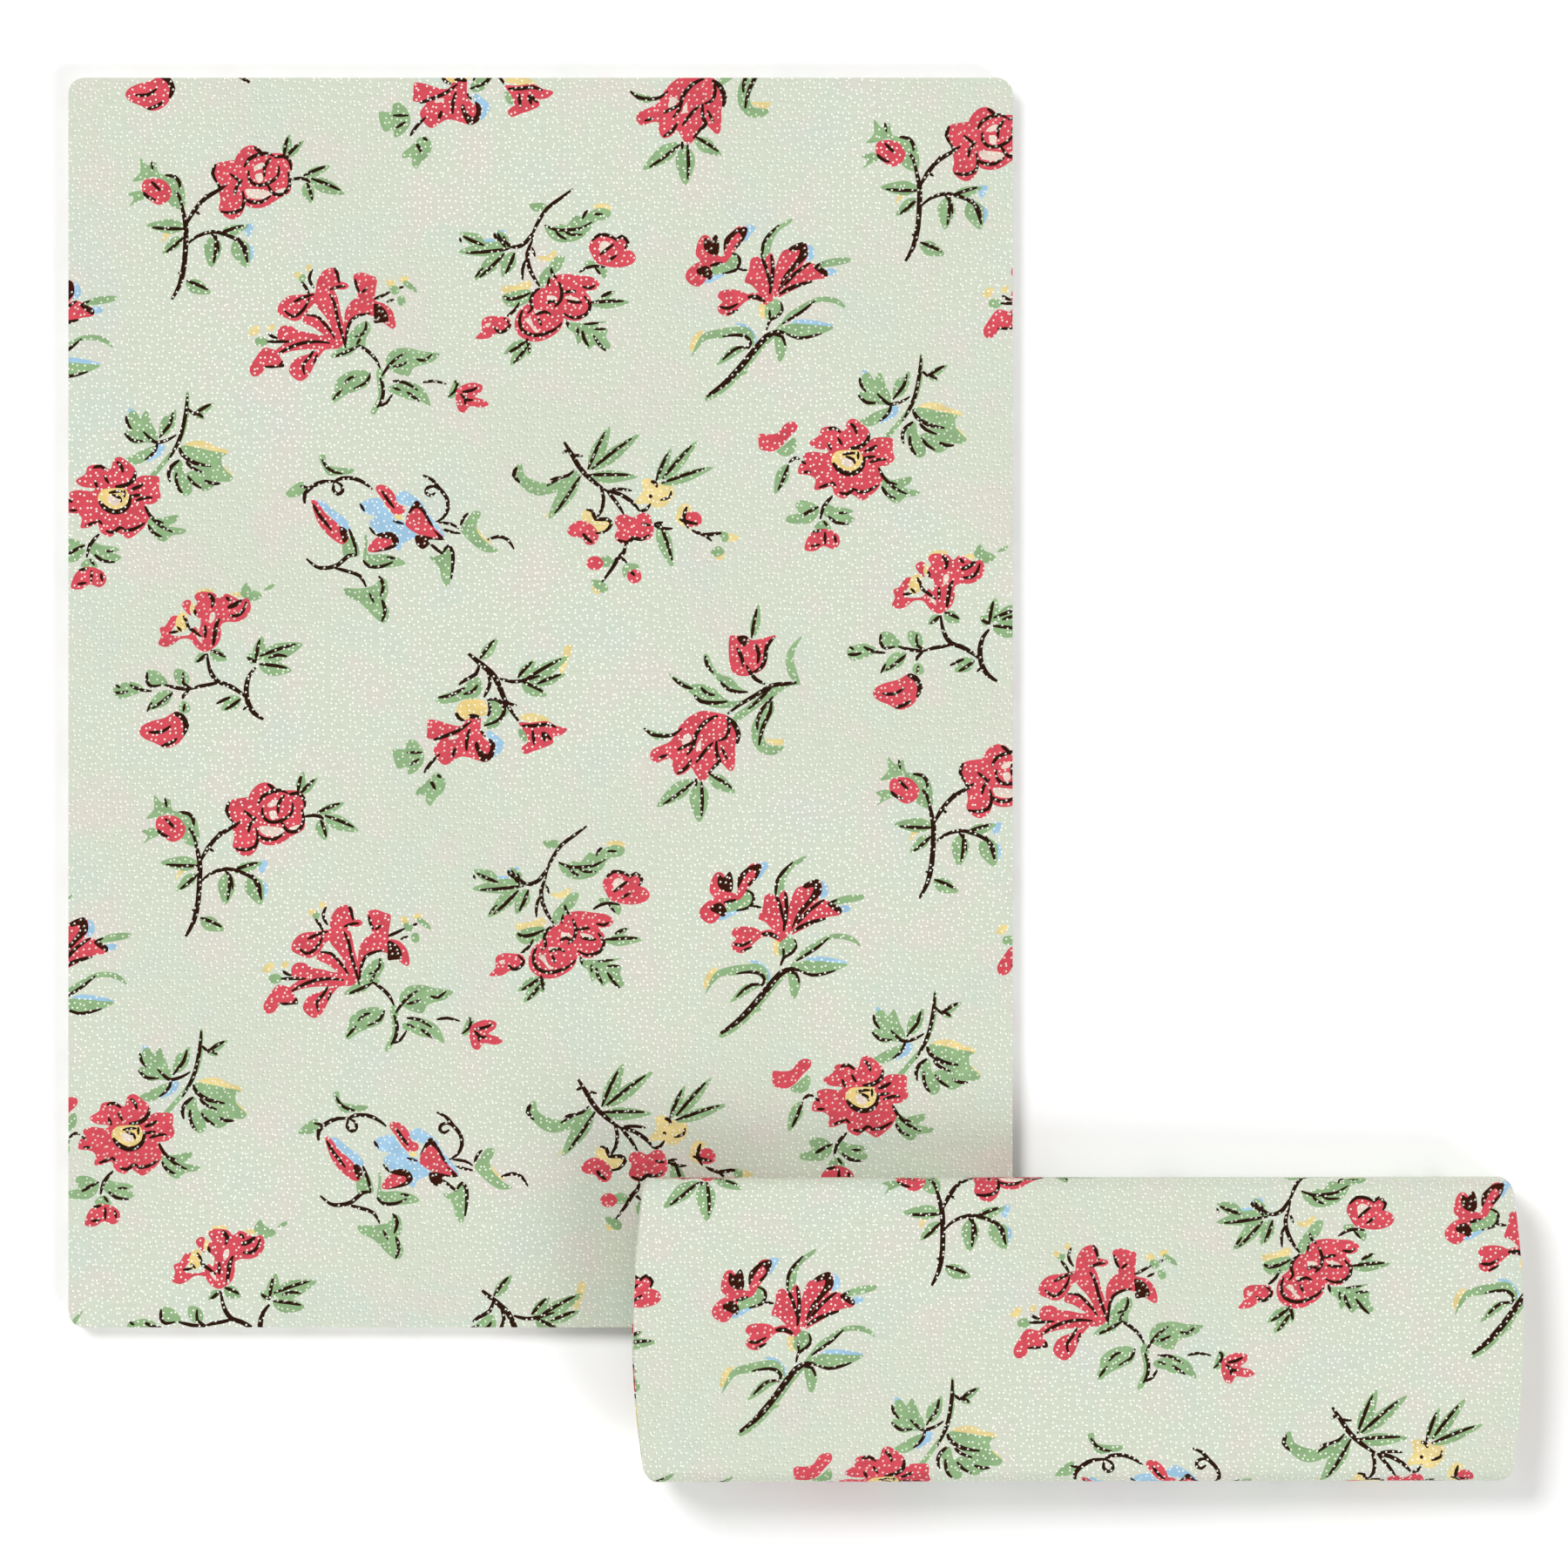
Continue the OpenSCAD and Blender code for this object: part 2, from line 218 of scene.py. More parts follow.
            (1.6, -28, -11, -25, -13, -18, -12, -11, -9), (1.4, -26, -24, -21, -20, -18, -15),
            (1.5, 12, -26, 13, -31), (1.4, 19, -31, 19, -36), (1.5, 22, -33, 23, -38, 26, -43),
            (1.4, 29, -36, 33, -42, 37, -46), (1.3, 23, -29, 33, -28), (1.3, 29, -32, 37, -32),
        ],
    },
    "lily": {
        "at": (-16.0, 303.7),
        "blue": [
            (-17, 46, -12, 48, -9, 46, -12, 42, -16, 37), (24, 36, 28, 33, 28, 27, 23, 25, 24, 30),
            (36, 20, 42, 20, 42, 17, 37, 16), (-42, 13, -34, 17, -26, 18, -36, 12, -41, 11),
            (14, -14, 20, -12, 30, -13, 41, -16, 30, -18, 20, -17),
            (-22, -15, -16, -15, -10, -20, -8, -27, -11, -26, -14, -19),
        ],
        "yellow": [
            (-6, -2, -1, -3, -1, -8, -4, -12, -7, -8), (-48, -22, -42, -19, -44, -24, -49, -32, -51, -30),
        ],
        "green": [
            (-6, 28, -5, 36, -1, 43, 6, 48, 14, 52, 13, 49, 6, 44, 2, 38, 0, 30, -2, 27),
            (28, 21, 34, 25, 42, 27, 51, 27, 50, 24, 42, 22, 34, 21),
            (-36, 22, -30, 24, -26, 31, -22, 31, -18, 26, -20, 21, -28, 18, -36, 16),
            (-2, -2, 3, 1, 8, -2, 9, -7, 5, -11, 1, -13, -3, -10),
            (8, -14, 12, -8, 20, -3, 30, 2, 40, 2, 46, -1, 49, -6, 44, -3, 36, -1, 28, -2, 20, -8,
             14, -12),
            (5, -20, 12, -15, 22, -15, 32, -16, 41, -17, 34, -21, 24, -24, 14, -23),
            (3, -22, 8, -22, 11, -28, 9, -36, 6, -39, 4, -33),
            (-10, -30, -10, -22, -15, -17, -24, -17, -36, -19, -44, -23, -50, -36, -46, -31, -40, -25,
             -30, -24, -20, -22, -14, -26),
            (-14, -30, -22, -29, -28, -33, -34, -41, -28, -39, -20, -34),
            (-22, -45, -18, -43, -14, -46, -20, -48),
            (-40, -60, -30, -54, -20, -45, -8, -30, 2, -20, 9, -12, 6, -20, -5, -32, -18, -48, -30, -59,
             -40, -64),
        ],
        "red": [
            (-47, 29, -46, 36, -43, 41, -39, 41, -36, 36, -34, 30, -30, 28, -28, 36, -25, 42, -20, 47,
             -14, 46, -16, 40, -20, 34, -24, 29, -28, 24, -36, 22, -38, 17, -43, 10, -48, 9, -53, 13,
             -53, 18, -48, 23, -44, 25),
            (-16, 12, -13, 20, -12, 26, -8, 28, -4, 25, -2, 28, 1, 30, 3, 26, 3, 18, 2, 8, 2, 0, -3, 0,
             -8, 6, -12, 10),
            (3, 2, 2, 12, 4, 22, 8, 31, 13, 33, 20, 37, 24, 35, 24, 28, 20, 22, 12, 14, 7, 6),
            (5, 2, 12, 12, 20, 22, 26, 24, 32, 21, 37, 17, 35, 14, 28, 13, 20, 9, 10, 4),
            (-2, -3, -8, 0, -14, 0, -20, -5, -26, -10, -32, -8, -33, -4, -30, -1, -33, 2, -31, 6, -24, 7,
             -18, 6, -14, 4, -10, 5, -5, 4, 0, 1),
        ],
        "brown": [
            (-41, 40, -38, 38, -34, 42, -32, 36, -33, 29, -39, 30, -42, 34),
            (-46, 20, -40, 22, -36, 17, -38, 13, -42, 15, -46, 17),
            (-29, 38, -26, 42, -20, 46, -14, 46, -16, 39, -21, 33, -23, 34, -18, 39, -20, 43, -25, 38,
             -29, 31),
            (12, 33, 17, 36, 22, 37, 24, 33, 24, 28, 18, 22, 11, 14, 5, 5, 9, 16, 17, 26, 19, 32, 14, 31),
            (28, 21, 33, 21, 37, 18, 36, 15, 31, 18),
        ],
        "lines": [
            (2.6, -40, -61, -30, -54, -20, -44, -10, -32, -2, -23, 5, -20, 10, -21),
            (1.4, 10, -21, 18, -24, 26, -23, 33, -21), (1.4, 3, -22, 8, -23, 10, -29),
            (1.4, -2, -19, 0, -13, 5, -10, 8, -6, 7, -1), (1.3, 0, -12, 0, -6),
            (1.4, 8, -15, 16, -10, 22, -6, 29, 0),
            (1.5, -14, -31, -12, -27, -15, -23, -22, -22, -30, -23),
            (1.4, -13, -30, -20, -30, -26, -34, -30, -38),
            (1.4, -30, 17, -22, 19, -19, 24, -20, 28, -24, 30), (1.4, -20, 20, -14, 19),
            (1.5, -5, 27, -4, 36, 0, 42, 6, 48), (1.4, 28, 21, 34, 24), (1.7, 1, 29, 2, 20, 1, 10, 0, 4),
            (1.5, -5, 27, -2, 20, 0, 10), (2, -14, 2, -8, 2, -3, -1), (1.4, -32, -4, -26, -5, -20, -2),
            (1.3, -27, -9, -20, -6), (1.8, 6, 4, 16, 9, 27, 12), (1.6, 8, 8, 16, 17, 26, 24),
            (1.6, -38, 22, -30, 24),
        ],
    },
    "daisy": {
        "at": (43.2, 198.6),
        "blue": [(17, 38, 23, 37, 20, 31, 14, 28, 11, 27, 16, 34), (0, 61, 4, 59, 3, 57, 0, 57)],
        "yellow": [
            (35, 37, 40, 40, 48, 40, 54, 37, 63, 34, 60, 31, 49, 35),
            (56, 25, 60, 24, 66, 18, 64, 16, 59, 20),
        ],
        "leaves": [(42, 57, 54, 64, 5), (41, 58, 48, 54, 4), (-48, 1, -56, -18, 8)],
        "green": [
            (0, 58, 4, 59, 7, 55, 10, 59, 12, 58, 15, 50, 18, 44, 17, 39, 10, 39, 4, 38, -1, 42, -2, 47,
             2, 47, -1, 52),
            (19, 44, 20, 52, 23, 56, 25, 56, 29, 60, 30, 58, 29, 50, 24, 44),
            (17, 37, 10, 35, 2, 31, -2, 28, 4, 25, 11, 28, 15, 33),
            (36, 70, 38, 70, 38, 56, 35, 44, 30, 34, 22, 24, 16, 17, 13, 18, 20, 26, 28, 36, 33, 46,
             36, 58),
            (33, 37, 43, 36, 51, 34, 62, 32, 59, 30, 59, 25, 62, 21, 66, 17, 63, 14, 57, 14, 51, 9, 45, 9,
             39, 17, 36, 19, 40, 21, 46, 21, 40, 25, 35, 30),
            (32, 28, 28, 25, 28, 17, 32, 8, 36, 5, 40, 8, 39, 15, 35, 20, 34, 26),
            (12, -6, 18, -9, 24, -8, 31, -7, 30, -11, 26, -14, 36, -16, 34, -19, 27, -20, 22, -24,
             16, -21, 12, -14),
            (-43, -25, -40, -22, -33, -23, -28, -27, -29, -32, -33, -36, -38, -37, -48, -36, -48, -32,
             -41, -30),
            (-24, -24, -18, -26, -10, -27, -6, -29, -9, -31, -5, -34, -10, -37, -18, -36, -25, -31),
            (-31, -39, -27, -35, -23, -35, -20, -40, -26, -41),
            (-55, 9, -50, 13, -44, 18, -42, 14, -44, 8, -50, 6),
        ],
        "red": [
            (-34, 15, -28, 19, -26, 24, -18, 25, -12, 22, -10, 28, -6, 30, -1, 27, 4, 22, 3, 16, 8, 18,
             14, 18, 19, 17, 19, 10, 20, 4, 15, 0, 10, -1, 13, -7, 10, -14, 6, -18, 0, -22, -4, -20,
             -8, -18, -12, -21, -18, -18, -20, -13, -26, -15, -31, -15, -30, -9, -34, -6, -41, -5, -40, 1,
             -37, 2, -38, 7, -32, 9, -24, 8, -22, 10, -30, 11),
            (-37, -51, -34, -44, -28, -40, -20, -41, -15, -45, -15, -50, -19, -53, -25, -51, -30, -54,
             -36, -54),
            (-66, 12, -66, 20, -60, 20, -54, 21, -50, 26, -46, 28, -42, 27, -42, 23, -47, 18, -52, 12,
             -58, 9, -64, 10),
        ],
        "sun": [(-20, 4, -17, 9, -10, 10, -3, 10, 0, 5, -1, 0, -6, -4, -13, -4, -18, -1)],
        "pale": [(-13, 5, -8, 4, -6, 1, -9, -1, -13, 1)],
        "lines": [
            (1.7, 37, 70, 36, 58, 33, 44, 29, 35, 25, 28), (1.4, 37, 61, 42, 56),
            (1.4, -2, 56, -1, 51, 2, 47), (1.5, -3, 45, 1, 41, 4, 40, 10, 40),
            (1.5, 9, 46, 14, 41, 18, 39, 25, 41, 30, 44), (1.5, 28, 58, 26, 51, 23, 47, 19, 42),
            (1.4, 18, 39, 17, 35, 14, 31, 10, 28), (1.8, 32, 36, 34, 31, 42, 26, 52, 24),
            (1.5, 36, 27, 40, 23, 47, 20), (1.4, 37, 18, 41, 13, 46, 10), (1.5, 48, 15, 53, 13, 58, 13),
            (1.7, 32, 28, 27, 24, 25, 19, 26, 14), (1.5, 30, 20, 30, 14, 32, 9, 34, 7),
            (2.2, -19, 2, -16, -2, -10, -5, -4, -4, 0, 0, 1, 6), (1.9, -9, 11, -2, 12, 3, 16, 4, 21),
            (1.5, -23, 23, -18, 24, -14, 21), (1.5, -8, 27, -5, 24, -4, 20), (1.4, -16, 18, -13, 13),
            (1.5, -22, 15, -20, 10), (1.6, 1, 9, 6, 11, 9, 13), (1.6, 1, 5, 8, 6),
            (1.4, 4, 2, 10, 4, 15, 4), (1.4, -38, -4, -33, -4), (1.4, -39, 3, -36, 1),
            (1.5, -28, -14, -20, -11), (1.5, -15, -17, -10, -18, -6, -15, -3, -16),
            (1.5, -4, -17, 3, -16, 10, -12), (1.3, -20, -10, -17, -13),
            (1.5, 10, -1, 13, -7, 20, -14, 28, -18), (1.5, 12, -13, 15, -18, 21, -21),
            (1.3, 15, -10, 22, -12), (1.6, -19, -19, -25, -26, -27, -34),
            (1.5, -39, -32, -34, -29, -28, -26), (1.5, -22, -32, -17, -36, -9, -37),
            (1.3, -16, -30, -10, -30), (1.3, -25, -35, -22, -39), (1.5, -32, -42, -26, -41),
            (1.4, -24, -42, -24, -50), (1.4, -33, -51, -27, -50), (1.4, -18, -44, -17, -49),
            (1.4, -47, 2, -43, 5, -40, 4), (1.3, -13, 7, -8, 8, -4, 8), (1.3, -11, 6, -6, 4, -5, 1),
            (1.3, -3, 9, -3, 4),
        ],
    },
    "sweet pea": {
        "at": (-256.4, 162.6),
        "blue": [
            (-20, 11, -14, 15, -7, 15, -4, 10, 2, 4, 8, 0, 13, -4, 16, -9, 8, -13, 5, -18, 0, -14, -6, -9,
             -11, -5, -14, 0, -10, 4, -17, 6),
            (2, 16, 8, 20, 14, 17, 20, 12, 24, 5, 32, -5, 34, -10, 28, -8, 20, 4, 12, 10, 6, 12),
            (-48, 13, -44, 14, -38, 9, -30, 3, -26, -3, -30, -6, -36, 1, -43, 8),
        ],
        "yellow": [(2, 5, 6, 5, 7, 2, 3, 2), (54, -3, 58, -8, 64, -13, 60, -12, 55, -7)],
        "green": [
            (-31, -13, -27, -10, -23, -10, -20, -20, -24, -22, -30, -22),
            (-17, -8, -15, -10, -15, -20, -6, -20, 4, -22, 9, -26, 4, -28, -6, -29, -14, -29, -18, -24,
             -17, -15),
            (44, -4, 48, 2, 52, 7, 57, 6, 54, -2, 56, -8, 62, -14, 68, -18, 60, -19, 52, -14, 46, -8),
            (-46, 42, -42, 43, -41, 37, -34, 35, -24, 34, -26, 31, -34, 30, -40, 30, -44, 36),
            (-68, 17, -64, 22, -57, 26, -54, 22, -58, 17, -64, 16),
            (24, -22, 30, -21, 34, -15, 38, -17, 39, -26, 38, -35, 36, -41, 32, -36, 30, -28),
            (-30, -42, -20, -42, -11, -40, -7, -35, -3, -37, -2, -45, -4, -50, -1, -58, -5, -64, -12, -59,
             -20, -51, -28, -47),
        ],
        "red": [
            (-10, 21, -8, 24, -3, 23, 2, 18, 4, 12, 8, 10, 8, 6, 2, 5, -2, 9, -6, 15),
            (9, 0, 12, 7, 16, 11, 20, 7, 24, 0, 30, -6, 33, -10, 24, -10, 16, -7, 10, -3),
            (-15, -18, -13, -13, -8, -9, -2, -9, 1, -13, -3, -17, -10, -19),
            (-51, 14, -47, 13, -42, 6, -36, 1, -30, -5, -27, -10, -31, -14, -38, -10, -44, -4, -48, 3),
        ],
        "brown": [
            (9, 2, 12, 9, 16, 14, 20, 10, 24, 3, 27, -3, 24, -1, 20, 6, 16, 9, 12, 6),
            (26, -4, 34, -11, 24, -11, 24, -14, 20, -17, 16, -14, 15, -9, 18, -8, 24, -9, 30, -10),
            (-10, -8, -4, -6, 2, -7, 5, -12, 2, -16, -4, -18, -12, -19, -6, -17, 0, -14, 0, -11, -5, -10),
            (-33, -3, -29, -4, -27, -9, -30, -13, -32, -9),
        ],
        "lines": [
            (1.9, -55, 12, -55, 18, -50, 23, -43, 26, -34, 26),
            (1.7, -36, 26, -32, 28, -24, 28, -17, 25, -12, 21),
            (1.6, -36, 26, -37, 21, -34, 18, -31, 20, -32, 24, -36, 26), (1.3, -58, 23, -52, 22),
            (1.4, -44, 40, -41, 35, -36, 32, -31, 31),
            (1.7, 20, 30, 26, 27, 30, 22, 35, 16, 36, 9, 33, 3, 28, 0),
            (1.5, 28, 19, 25, 17, 22, 19, 23, 22, 27, 23, 30, 21), (1.3, 30, 0, 38, -1, 43, -4),
            (1.3, 32, -4, 38, -6, 44, -7), (1.4, 24, -13, 30, -18, 33, -20),
            (1.6, 33, -19, 36, -15, 39, -19, 39, -28, 38, -36), (1.4, -20, 12, -17, 7),
            (1.3, -14, -3, -10, -8), (1.3, 1, 1, 8, -1), (1.4, -27, -4, -25, -9, -23, -15, -22, -21),
            (1.8, -22, -21, -27, -21, -34, -27, -42, -29, -48, -28, -54, -23),
            (1.6, -36, -29, -28, -31, -20, -34, -16, -41), (1.5, -18, -24, -14, -28, -6, -28, 1, -25),
            (1.3, -3, -22, 3, -23), (1.6, -8, -34, -5, -40, -7, -47), (1.6, -6, -49, -4, -56, -6, -63),
            (1.3, -14, -45, -11, -51), (1.4, 44, -2, 46, 3, 49, 6),
            (1.5, 61, -11, 68, -9, 74, -11, 78, -17), (1.5, -50, 12, -46, 5, -42, 0, -38, -5),
            (1.4, -6, 20, -2, 14, 2, 9),
        ],
    },
    "blossom": {
        "at": (-111.6, 173.7),
        "yellow": [
            (-49, -9, -44, -4, -38, 5, -34, 5, -40, -3),
            (10, 1, 15, 9, 14, 15, 19, 17, 25, 14, 33, 13, 35, 7, 30, 0, 24, -2, 18, 1),
            (-24, -9, -22, -3, -16, -4, -14, -10, -6, -10, -5, -14, -10, -18, -16, -16, -19, -12),
            (36, -9, 37, -3, 41, 1, 46, -1, 44, -6, 42, -14, 46, -16, 38, -12),
            (69, -18, 76, -20, 74, -23, 69, -23), (61, -31, 67, -31, 65, -35, 61, -34),
            (-17, -52, -13, -52, -12, -56, -16, -56),
        ],
        "leaves": [
            (-19, 22, -6, 50, 9), (-17, 22, 13, 45, 8), (-20, 18, 12, 18, 8), (-25, 20, -45, -9, 10),
            (24, 15, 33, 36, 6), (28, 16, 50, 41, 7), (27, 13, 60, 24, 7), (25, -12, 34, -40, 9),
        ],
        "green": [
            (-66, 24, -62, 26, -60, 19, -52, 15, -44, 14, -34, 17, -27, 22, -28, 17, -36, 10, -44, 7,
             -52, 6, -59, 9, -65, 16),
            (2, -40, 6, -37, 12, -38, 12, -41, 6, -43, 3, -46),
            (-13, -35, -8, -32, -3, -35, -6, -39, -11, -39),
            (-18, -48, -12, -48, -7, -52, -9, -56, -14, -54), (64, -17, 69, -18, 69, -23, 65, -23),
            (58, -30, 63, -26, 67, -30, 62, -33),
        ],
        "red": [
            (-33, -17, -31, -13, -26, -10, -20, -11, -15, -15, -13, -20, -16, -25, -21, -25, -24, -21,
             -30, -20),
            (-3, -11, -1, -7, 4, -6, 9, -8, 14, -5, 19, -6, 21, -11, 22, -16, 20, -21, 14, -23, 9, -22,
             5, -25, 0, -24, -3, -20, -1, -15),
            (40, -9, 43, -5, 48, -4, 52, -7, 52, -12, 47, -14, 42, -13),
            (-21, -37, -18, -33, -13, -33, -10, -37, -13, -41, -18, -41),
            (5, -44, 8, -41, 13, -42, 14, -47, 10, -50, 6, -48),
        ],
        "lines": [
            (2.1, -35, 40, -30, 32, -26, 25, -21, 19, -14, 13, -8, 9), (1.5, -36, 33, -32, 35),
            (1.5, -30, 32, -23, 31), (1.6, -12, 12, -10, 5, -11, -3, -15, -9), (1.6, -8, 9, -2, 2, 3, -6),
            (1.8, -8, 9, 0, 7, 8, 2, 13, -4), (1.5, 13, -4, 17, -3, 20, 1), (1.4, -6, 10, 2, 10, 8, 9),
            (1.4, -46, 12, -38, 17, -32, 19, -28, 23), (1.4, -44, 16, -36, 18),
            (1.8, -65, 24, -67, 19, -63, 14),
            (1.7, -21, -3, -17, -4, -15, -9, -8, -9, -5, -12, -9, -17, -15, -18),
            (1.6, -23, -18, -21, -21, -17, -24), (1.7, -1, -22, 5, -24, 9, -21, 14, -22, 19, -19),
            (1.4, 14, -12, 20, -13), (1.5, 22, -12, 28, -11), (1.5, 22, -13, 28, -15, 34, -15),
            (1.8, 4, -25, 3, -30, 0, -33, -5, -41, -11, -49), (1.4, 1, -33, 5, -37),
            (1.4, 0, -33, -3, -35), (1.6, 43, -1, 41, -8, 44, -15), (1.6, 38, -9, 44, -11, 50, -12),
            (1.7, 46, -16, 54, -19, 62, -18, 65, -18), (1.3, 54, -19, 59, -23), (1.5, 7, -42, 10, -45),
            (1.6, 20, 15, 23, 14, 24, 11), (1.3, 26, 3, 32, 5, 33, 9), (1.8, 19, 5, 21, 6),
        ],
    },
    "azalea": {
        "at": (-372.6, 71.4),
        "yellow": [
            (-9, 45, -5, 49, 2, 49, 3, 47, -4, 46), (-13, 38, -9, 40, -8, 34, -11, 34),
            (14, 46, 20, 47, 20, 43),
        ],
        "leaves": [
            (1, 9, 12, 4, 8), (-2, 8, -9, 2, 5), (31, 3, 34, 19, 8), (31, 3, 24, 7, 7),
            (33, 5, 60, 14, 11), (32, 0, 53, -3, 10), (-23, -16, -39, -28, 9), (20, -20, 8, -28, 9),
        ],
        "green": [
            (20, 47, 24, 53, 27, 49, 32, 47, 34, 44, 28, 41, 23, 43), (35, 48, 38, 51, 42, 52, 40, 49),
            (-60, -18, -56, -21, -49, -19, -44, -17, -42, -13, -49, -10, -55, -11, -60, -13),
            (-39, -3, -33, -3, -28, -7, -26, -12, -33, -13, -39, -10),
            (-21, -2, -15, -3, -12, -8, -14, -13, -19, -12, -22, -7),
            (-19, -26, -16, -22, -12, -25, -12, -29, -17, -30),
        ],
        "red": [
            (-9, 44, -6, 47, 0, 47, 4, 46, 7, 43, 11, 46, 16, 44, 20, 42, 25, 43, 27, 37, 24, 31, 18, 28,
             12, 28, 8, 26, 8, 20, 6, 14, 1, 10, -3, 9, -8, 12, -12, 17, -18, 17, -22, 14, -27, 12,
             -32, 14, -30, 19, -31, 24, -27, 26, -24, 31, -20, 32, -18, 29, -22, 25, -24, 20, -18, 19,
             -12, 20, -9, 25, -6, 23, -5, 29, -8, 32, -9, 37, -7, 40),
            (-17, 39, -14, 42, -11, 41, -12, 36, -11, 32, -14, 34),
            (-44, -42, -42, -38, -36, -35, -28, -33, -23, -30, -19, -29, -15, -34, -14, -41, -17, -47,
             -22, -51, -28, -52, -34, -49, -41, -46),
        ],
        "sun": [(-21, 27, -20, 31, -17, 34, -14, 33, -13, 26, -16, 22, -20, 22)],
        "pale": [(1, 33, 4, 34, 4, 30, 1, 27), (-8, 19, -4, 14, -5, 20)],
        "lines": [
            (2.2, 35, -34, 29, -30, 25, -23, 24, -14, 26, -6, 30, -1),
            (2, 24, -20, 19, -16, 12, -12, 6, -10, 2, -5, 0, 1, -1, 8),
            (1.6, 8, -10, 0, -12, -6, -13, -12, -15), (1.6, -12, -15, -20, -14, -28, -12),
            (1.4, -12, -15, -16, -19, -16, -21), (1.4, -11, -14, -16, -11, -16, -4),
            (1.5, -50, -12, -44, -15, -36, -16), (1.4, -60, -17, -55, -17, -51, -16),
            (1.3, -59, -12, -56, -14), (1.5, -39, -4, -39, -10, -36, -13, -30, -12),
            (1.4, -36, -23, -39, -29), (1.4, -15, -24, -16, -29), (1.4, 38, 5, 44, 7, 50, 6),
            (1.4, 5, -24, 11, -21, 14, -20), (1.2, 22, -28, 25, -25), (1.8, 3, 13, 4, 20, 5, 26, 7, 30),
            (1.6, -2, 18, -2, 26), (1.5, -14, 30, -13, 25, -9, 22, -4, 18), (1.8, 0, 46, 3, 42, 2, 37),
            (2, 12, 37, 17, 39, 21, 42), (1.5, 11, 44, 14, 41), (1.5, 13, 32, 18, 32, 22, 35, 24, 41),
            (1.4, -25, 21, -19, 22), (1.3, -20, 25, -17, 22), (1.5, -9, 36, -8, 32),
            (1.4, -16, 32, -14, 28), (2.4, -22, -30, -17, -32, -14, -38, -16, -44),
            (1.5, -38, -42, -30, -42, -24, -38), (1.6, -30, -51, -24, -49, -20, -46),
        ],
    },
    "trumpets": {
        "at": (-195.6, 35.4),
        "blue": [(1, -5, 6, -8, 11, -13, 9, -18, 5, -22, 4, -18, 5, -13, 0, -9)],
        "yellow": [(20, 3, 26, 6, 34, 5, 40, 1, 30, 0), (48, 43, 50, 49, 54, 49, 53, 43, 49, 33, 46, 32)],
        "leaves": [
            (-4, 40, 7, 54, 7), (20, 28, 31, 40, 7), (24, 26, 52, 42, 9), (22, 25, 38, 17, 9),
            (32, 24, 50, 31, 6),
        ],
        "green": [
            (-33, 14, -28, 18, -18, 21, -12, 26, -6, 29, -3, 24, -4, 19, -8, 15, -14, 15, -20, 13,
             -28, 12),
            (2, 14, 8, 15, 11, 10, 14, 7, 10, 2, 6, -3, 0, -4, -2, 0, 2, 4, 3, 9),
            (20, -4, 25, -6, 25, -12, 21, -10),
            (-60, -17, -52, -17, -51, -12, -46, -11, -41, -17, -40, -24, -44, -30, -50, -33, -51, -28,
             -57, -29),
            (-33, -32, -29, -33, -26, -38, -28, -44, -31, -47, -34, -50, -36, -53, -39, -50, -39, -46,
             -45, -46, -44, -42, -40, -39),
        ],
        "red": [
            (-38, -2, -37, 2, -30, 1, -24, -1, -16, -2, -12, 4, -7, 5, -4, 4, -4, -4, -2, -10, 3, -14,
             3, -20, 0, -25, -6, -24, -12, -22, -18, -22, -26, -27, -31, -24, -34, -18, -32, -14,
             -30, -11, -38, -10, -38, -6),
            (20, 0, 28, 0, 38, 1, 44, -2, 51, -4, 47, -8, 42, -9, 42, -13, 36, -16, 30, -18, 24, -20,
             22, -16, 26, -12, 24, -6),
        ],
        "sun": [(-19, 4, -19, 10, -15, 14, -8, 15, -1, 13, 0, 6, -4, 4, -8, 5, -12, 2)],
        "pale": [(-24, -9, -19, -8, -19, -10, -24, -11)],
        "brown": [
            (1, -10, 5, -13, 5, -18, 3, -23, -3, -25, -6, -20, -8, -14, -6, -12, -4, -17, 0, -20, 2, -16),
        ],
        "lines": [
            (2.4, -12, 44, -6, 39, 0, 34, 5, 29, 9, 20, 13, 11, 20, 1),
            (1.7, -5, 37, -7, 31, -14, 27, -18, 24), (1.6, -31, 16, -24, 17, -18, 20, -14, 22),
            (1.5, -15, 18, -9, 20, -6, 24), (1.6, 0, 33, 2, 26, 0, 20, -2, 16),
            (1.5, 12, 14, 14, 12, 19, 11), (1.6, 8, 28, 16, 26, 24, 27, 34, 30),
            (1.7, 0, 14, 5, 15, 10, 12, 11, 8, 9, 3, 4, 0, -2, -2), (1.5, 1, 13, 2, 8, 0, 3),
            (1.6, -20, 7, -18, 3, -14, 1), (1.6, -34, -11, -28, -9, -18, -5, -10, 1),
            (2, -12, 4, -8, 4, -4, 3), (1.5, -11, -4, -13, -12, -13, -18), (1.7, -20, -16, -22, -22),
            (1.4, -4, -5, -1, -9), (1.5, -40, -32, -36, -26, -30, -20),
            (1.6, 22, -2, 30, -2, 38, -1, 44, -3), (1.8, 35, -6, 37, -12), (1.6, 36, -6, 41, -11),
            (1.6, 29, -5, 30, -14), (1.4, -51, -19, -41, -19), (1.4, -49, -27, -43, -23),
            (1.5, -36, -37, -34, -40, -33, -43), (1.5, -32, -33, -29, -35),
        ],
    },
    "tulips": {
        "at": (-50.8, 39.9),
        "yellow": [(32, -15, 38, -15, 44, -15, 42, -19, 35, -18)],
        "leaves": [
            (24, 49, 28, 71, 6), (-14, -41, -37, -58, 10), (-10, -42, -10, -68, 12),
            (-4, -38, 13, -49, 9),
        ],
        "green": [
            (54, 20, 52, 28, 50, 36, 52, 44, 56, 51, 50, 46, 46, 40, 45, 32, 48, 24),
